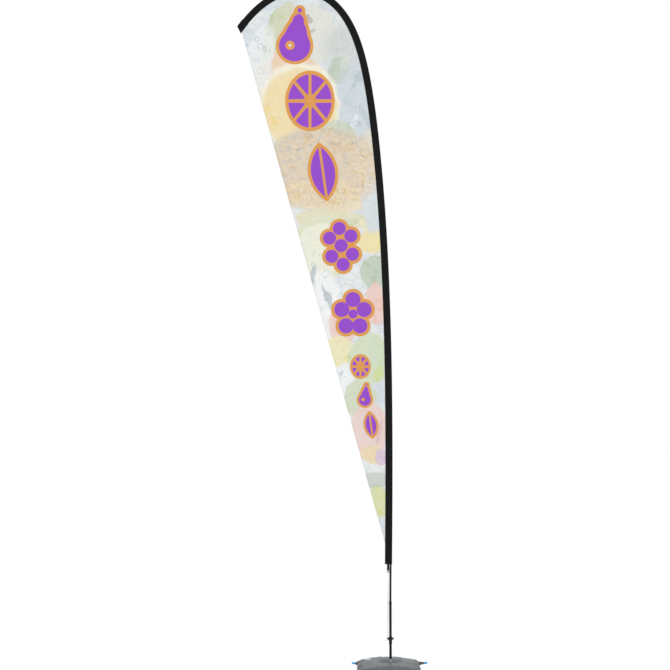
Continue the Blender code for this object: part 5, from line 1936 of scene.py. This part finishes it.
        def place(across: float, along: float) -> Vector:
            """A point of the patch for shares across and along.

            Args:
                across: Share across, from 0 to 1.
                along: Share along.

            Returns:
                The point.
            """
            start = Vector((low.x + across * size.x, low.y + along * size.y, 0.3))
            spot, normal = tree.ray_cast(start, Vector((0.0, 0.0, -1.0)))[:2]
            return spot + normal * self.patch_gap

        film = cloth_grid(14, 28, place, lambda a, b: (a * size.x, b * size.y))
        piece = finish_piece("blank_patch", film, BLANK_FILM.material, "bag", "blank_label", ("bag_label",))
        thicken(piece, self.patch_film)

    def filler(self, side: str) -> None:
        """One filler: welded flange, tapered boot, threaded stem and ribbed cap.

        Args:
            side: left or right.
        """
        sign = -1.0 if side == "left" else 1.0
        angle = math.radians(self.spout_angle)
        out = Vector((sign * math.cos(angle), math.sin(angle), 0.0))
        corner = Vector((self.shift + sign * self.corner_reach, self.corner_reach, self.spout))
        root = corner + out * self.boot_root
        boot = self.boots[side]
        bore, stem = self.stem
        profile = [(bore, 0.0), (bore, -self.boot_sunk), (0.0200, -self.boot_sunk), (0.0182, -0.0030),
                   (0.0165, 0.0012), (0.0138, 0.0028), (0.0105, boot * 0.45), (0.0078, boot * 0.80),
                   (0.0066, boot), (stem, boot), (stem, boot + self.stem_length),
                   (bore, boot + self.stem_length)]
        bm = stood_along(turned(profile, 40, 0.0002), out, root)
        finish_piece("filler_boot_body_" + side, bm, DARK_PVC.material, "bag", "dark_pvc",
                     ("filler_boot_" + side,))
        mouth = boot + self.cap_gap
        cap = [(0.0, 0.0145), (0.0055, 0.0145), (0.0055, 0.0), (0.0070, 0.0), (0.0070, 0.0025),
               (0.0064, 0.0030), (0.0064, 0.0215), (0.0058, 0.0236), (0.0045, 0.0240), (0.0, 0.0240)]
        steps = 3 * self.ribs
        bm = turned([(r, h + mouth) for r, h in cap], steps)
        for vert in bm.verts:
            turn = math.atan2(vert.co.y, vert.co.x)
            away = math.hypot(vert.co.x, vert.co.y)
            if 0.0058 < away < 0.0066 and round(turn / math.tau * steps) % 3 == 0:
                vert.co.x *= self.rib
                vert.co.y *= self.rib
        bm = stood_along(bm, out, root)
        finish_piece("ribbed_cap_" + side, bm, BLUE_CAP.material, "cap_" + side, "blue_cap",
                     ("filler_cap_" + side,), 25.0)

    def build(self) -> None:
        """Make the bag and everything on it."""
        bag = self.film()
        self.weld()
        self.patch(bag)
        self.filler("left")
        self.filler("right")


# ---- setting -------------------------------------------------------------------------------
@dataclass
class Studio:
    """Camera, pale floor, white surroundings and soft lights.

    Args:
        eye: Where the camera stands.
        pitch: Degrees that it looks up.
        lens: Its focal length, in millimetres.
        sensor: Width of its sensor, in millimetres.
        aim: What the lights point at.
        floor_half: Half the floor's width.
        floor_gap: How far the floor lies under the object.
    """

    eye: tuple[float, float, float] = (-0.3577, -8.5, 1.6)
    pitch: float = 4.145
    lens: float = 69.876
    sensor: float = 36.0
    aim: tuple[float, float, float] = (-0.3, 0.0, 2.0)
    floor_half: float = 60.0
    floor_gap: float = 0.0008

    def camera(self) -> None:
        """The camera, made before anything else."""
        data = bpy.data.cameras.new("camera")
        data.lens = self.lens
        data.sensor_width = self.sensor
        data.clip_end = 300.0
        camera = bpy.data.objects.new("camera", data)
        camera.location = self.eye
        camera.rotation_euler = (math.radians(90.0 + self.pitch), 0.0, 0.0)
        bpy.context.scene.collection.objects.link(camera)
        bpy.context.scene.camera = camera

    def floor(self) -> None:
        """A flat pale floor, wide enough to meet the white surroundings."""
        canvas = Canvas("pale_floor")
        where = canvas.node("TexCoord").outputs["Object"]
        mottle = canvas.noise(where, 3.0, 4.0).outputs["Fac"]
        colour = canvas.mix(mottle, (0.86, 0.86, 0.86), (0.90, 0.90, 0.90))
        canvas.put(canvas.shader.inputs["Emission Color"], (1.0, 1.0, 1.0, 1.0))
        material = canvas.shade(Base_Color=colour, Roughness=0.9, Emission_Strength=0.12,
                                Specular_IOR_Level=0.1)
        bm = bmesh.new()
        bmesh.ops.create_grid(bm, x_segments=1, y_segments=1, size=self.floor_half)
        mesh = bpy.data.meshes.new("floor")
        bm.to_mesh(mesh)
        bm.free()
        mesh.materials.append(material)
        floor = bpy.data.objects.new("floor", mesh)
        floor.location.z = -self.floor_gap
        bpy.context.scene.collection.objects.link(floor)

    def lamp(self, name: str, place: tuple[float, float, float], size: float, power: float) -> None:
        """One soft square light aimed at the middle of the flag.

        Args:
            name: Its name.
            place: Where it hangs.
            size: Its width.
            power: Its power in watts.
        """
        data = bpy.data.lights.new(name, "AREA")
        data.size = size
        data.energy = power
        lamp = bpy.data.objects.new(name, data)
        lamp.location = place
        aim = Vector(self.aim) - Vector(place)
        lamp.rotation_euler = aim.to_track_quat("-Z", "Y").to_euler()
        bpy.context.scene.collection.objects.link(lamp)

    def build(self) -> None:
        """Make the floor, the surroundings and the lights."""
        self.floor()
        world = bpy.data.worlds.new("white_room")
        world.use_nodes = True
        background = world.node_tree.nodes["Background"]
        background.inputs["Color"].default_value = (1.0, 1.0, 1.0, 1.0)
        background.inputs["Strength"].default_value = 1.0
        bpy.context.scene.world = world
        bpy.context.scene.view_settings.view_transform = "Standard"
        self.lamp("key_light", (-4.0, -6.5, 6.5), 3.0, 70.0)
        self.lamp("fill_light", (5.0, -5.0, 3.5), 3.5, 20.0)


def main() -> None:
    """Build the pieces in order."""
    logging.basicConfig(level=logging.INFO, format="%(name)s: %(message)s")
    studio = Studio()
    studio.camera()
    Tension().build()
    Flag().build()
    Hardware().build()
    WaterBag().build()
    studio.build()
    bpy.context.view_layer.update()


if __name__ == "__main__":
    main()
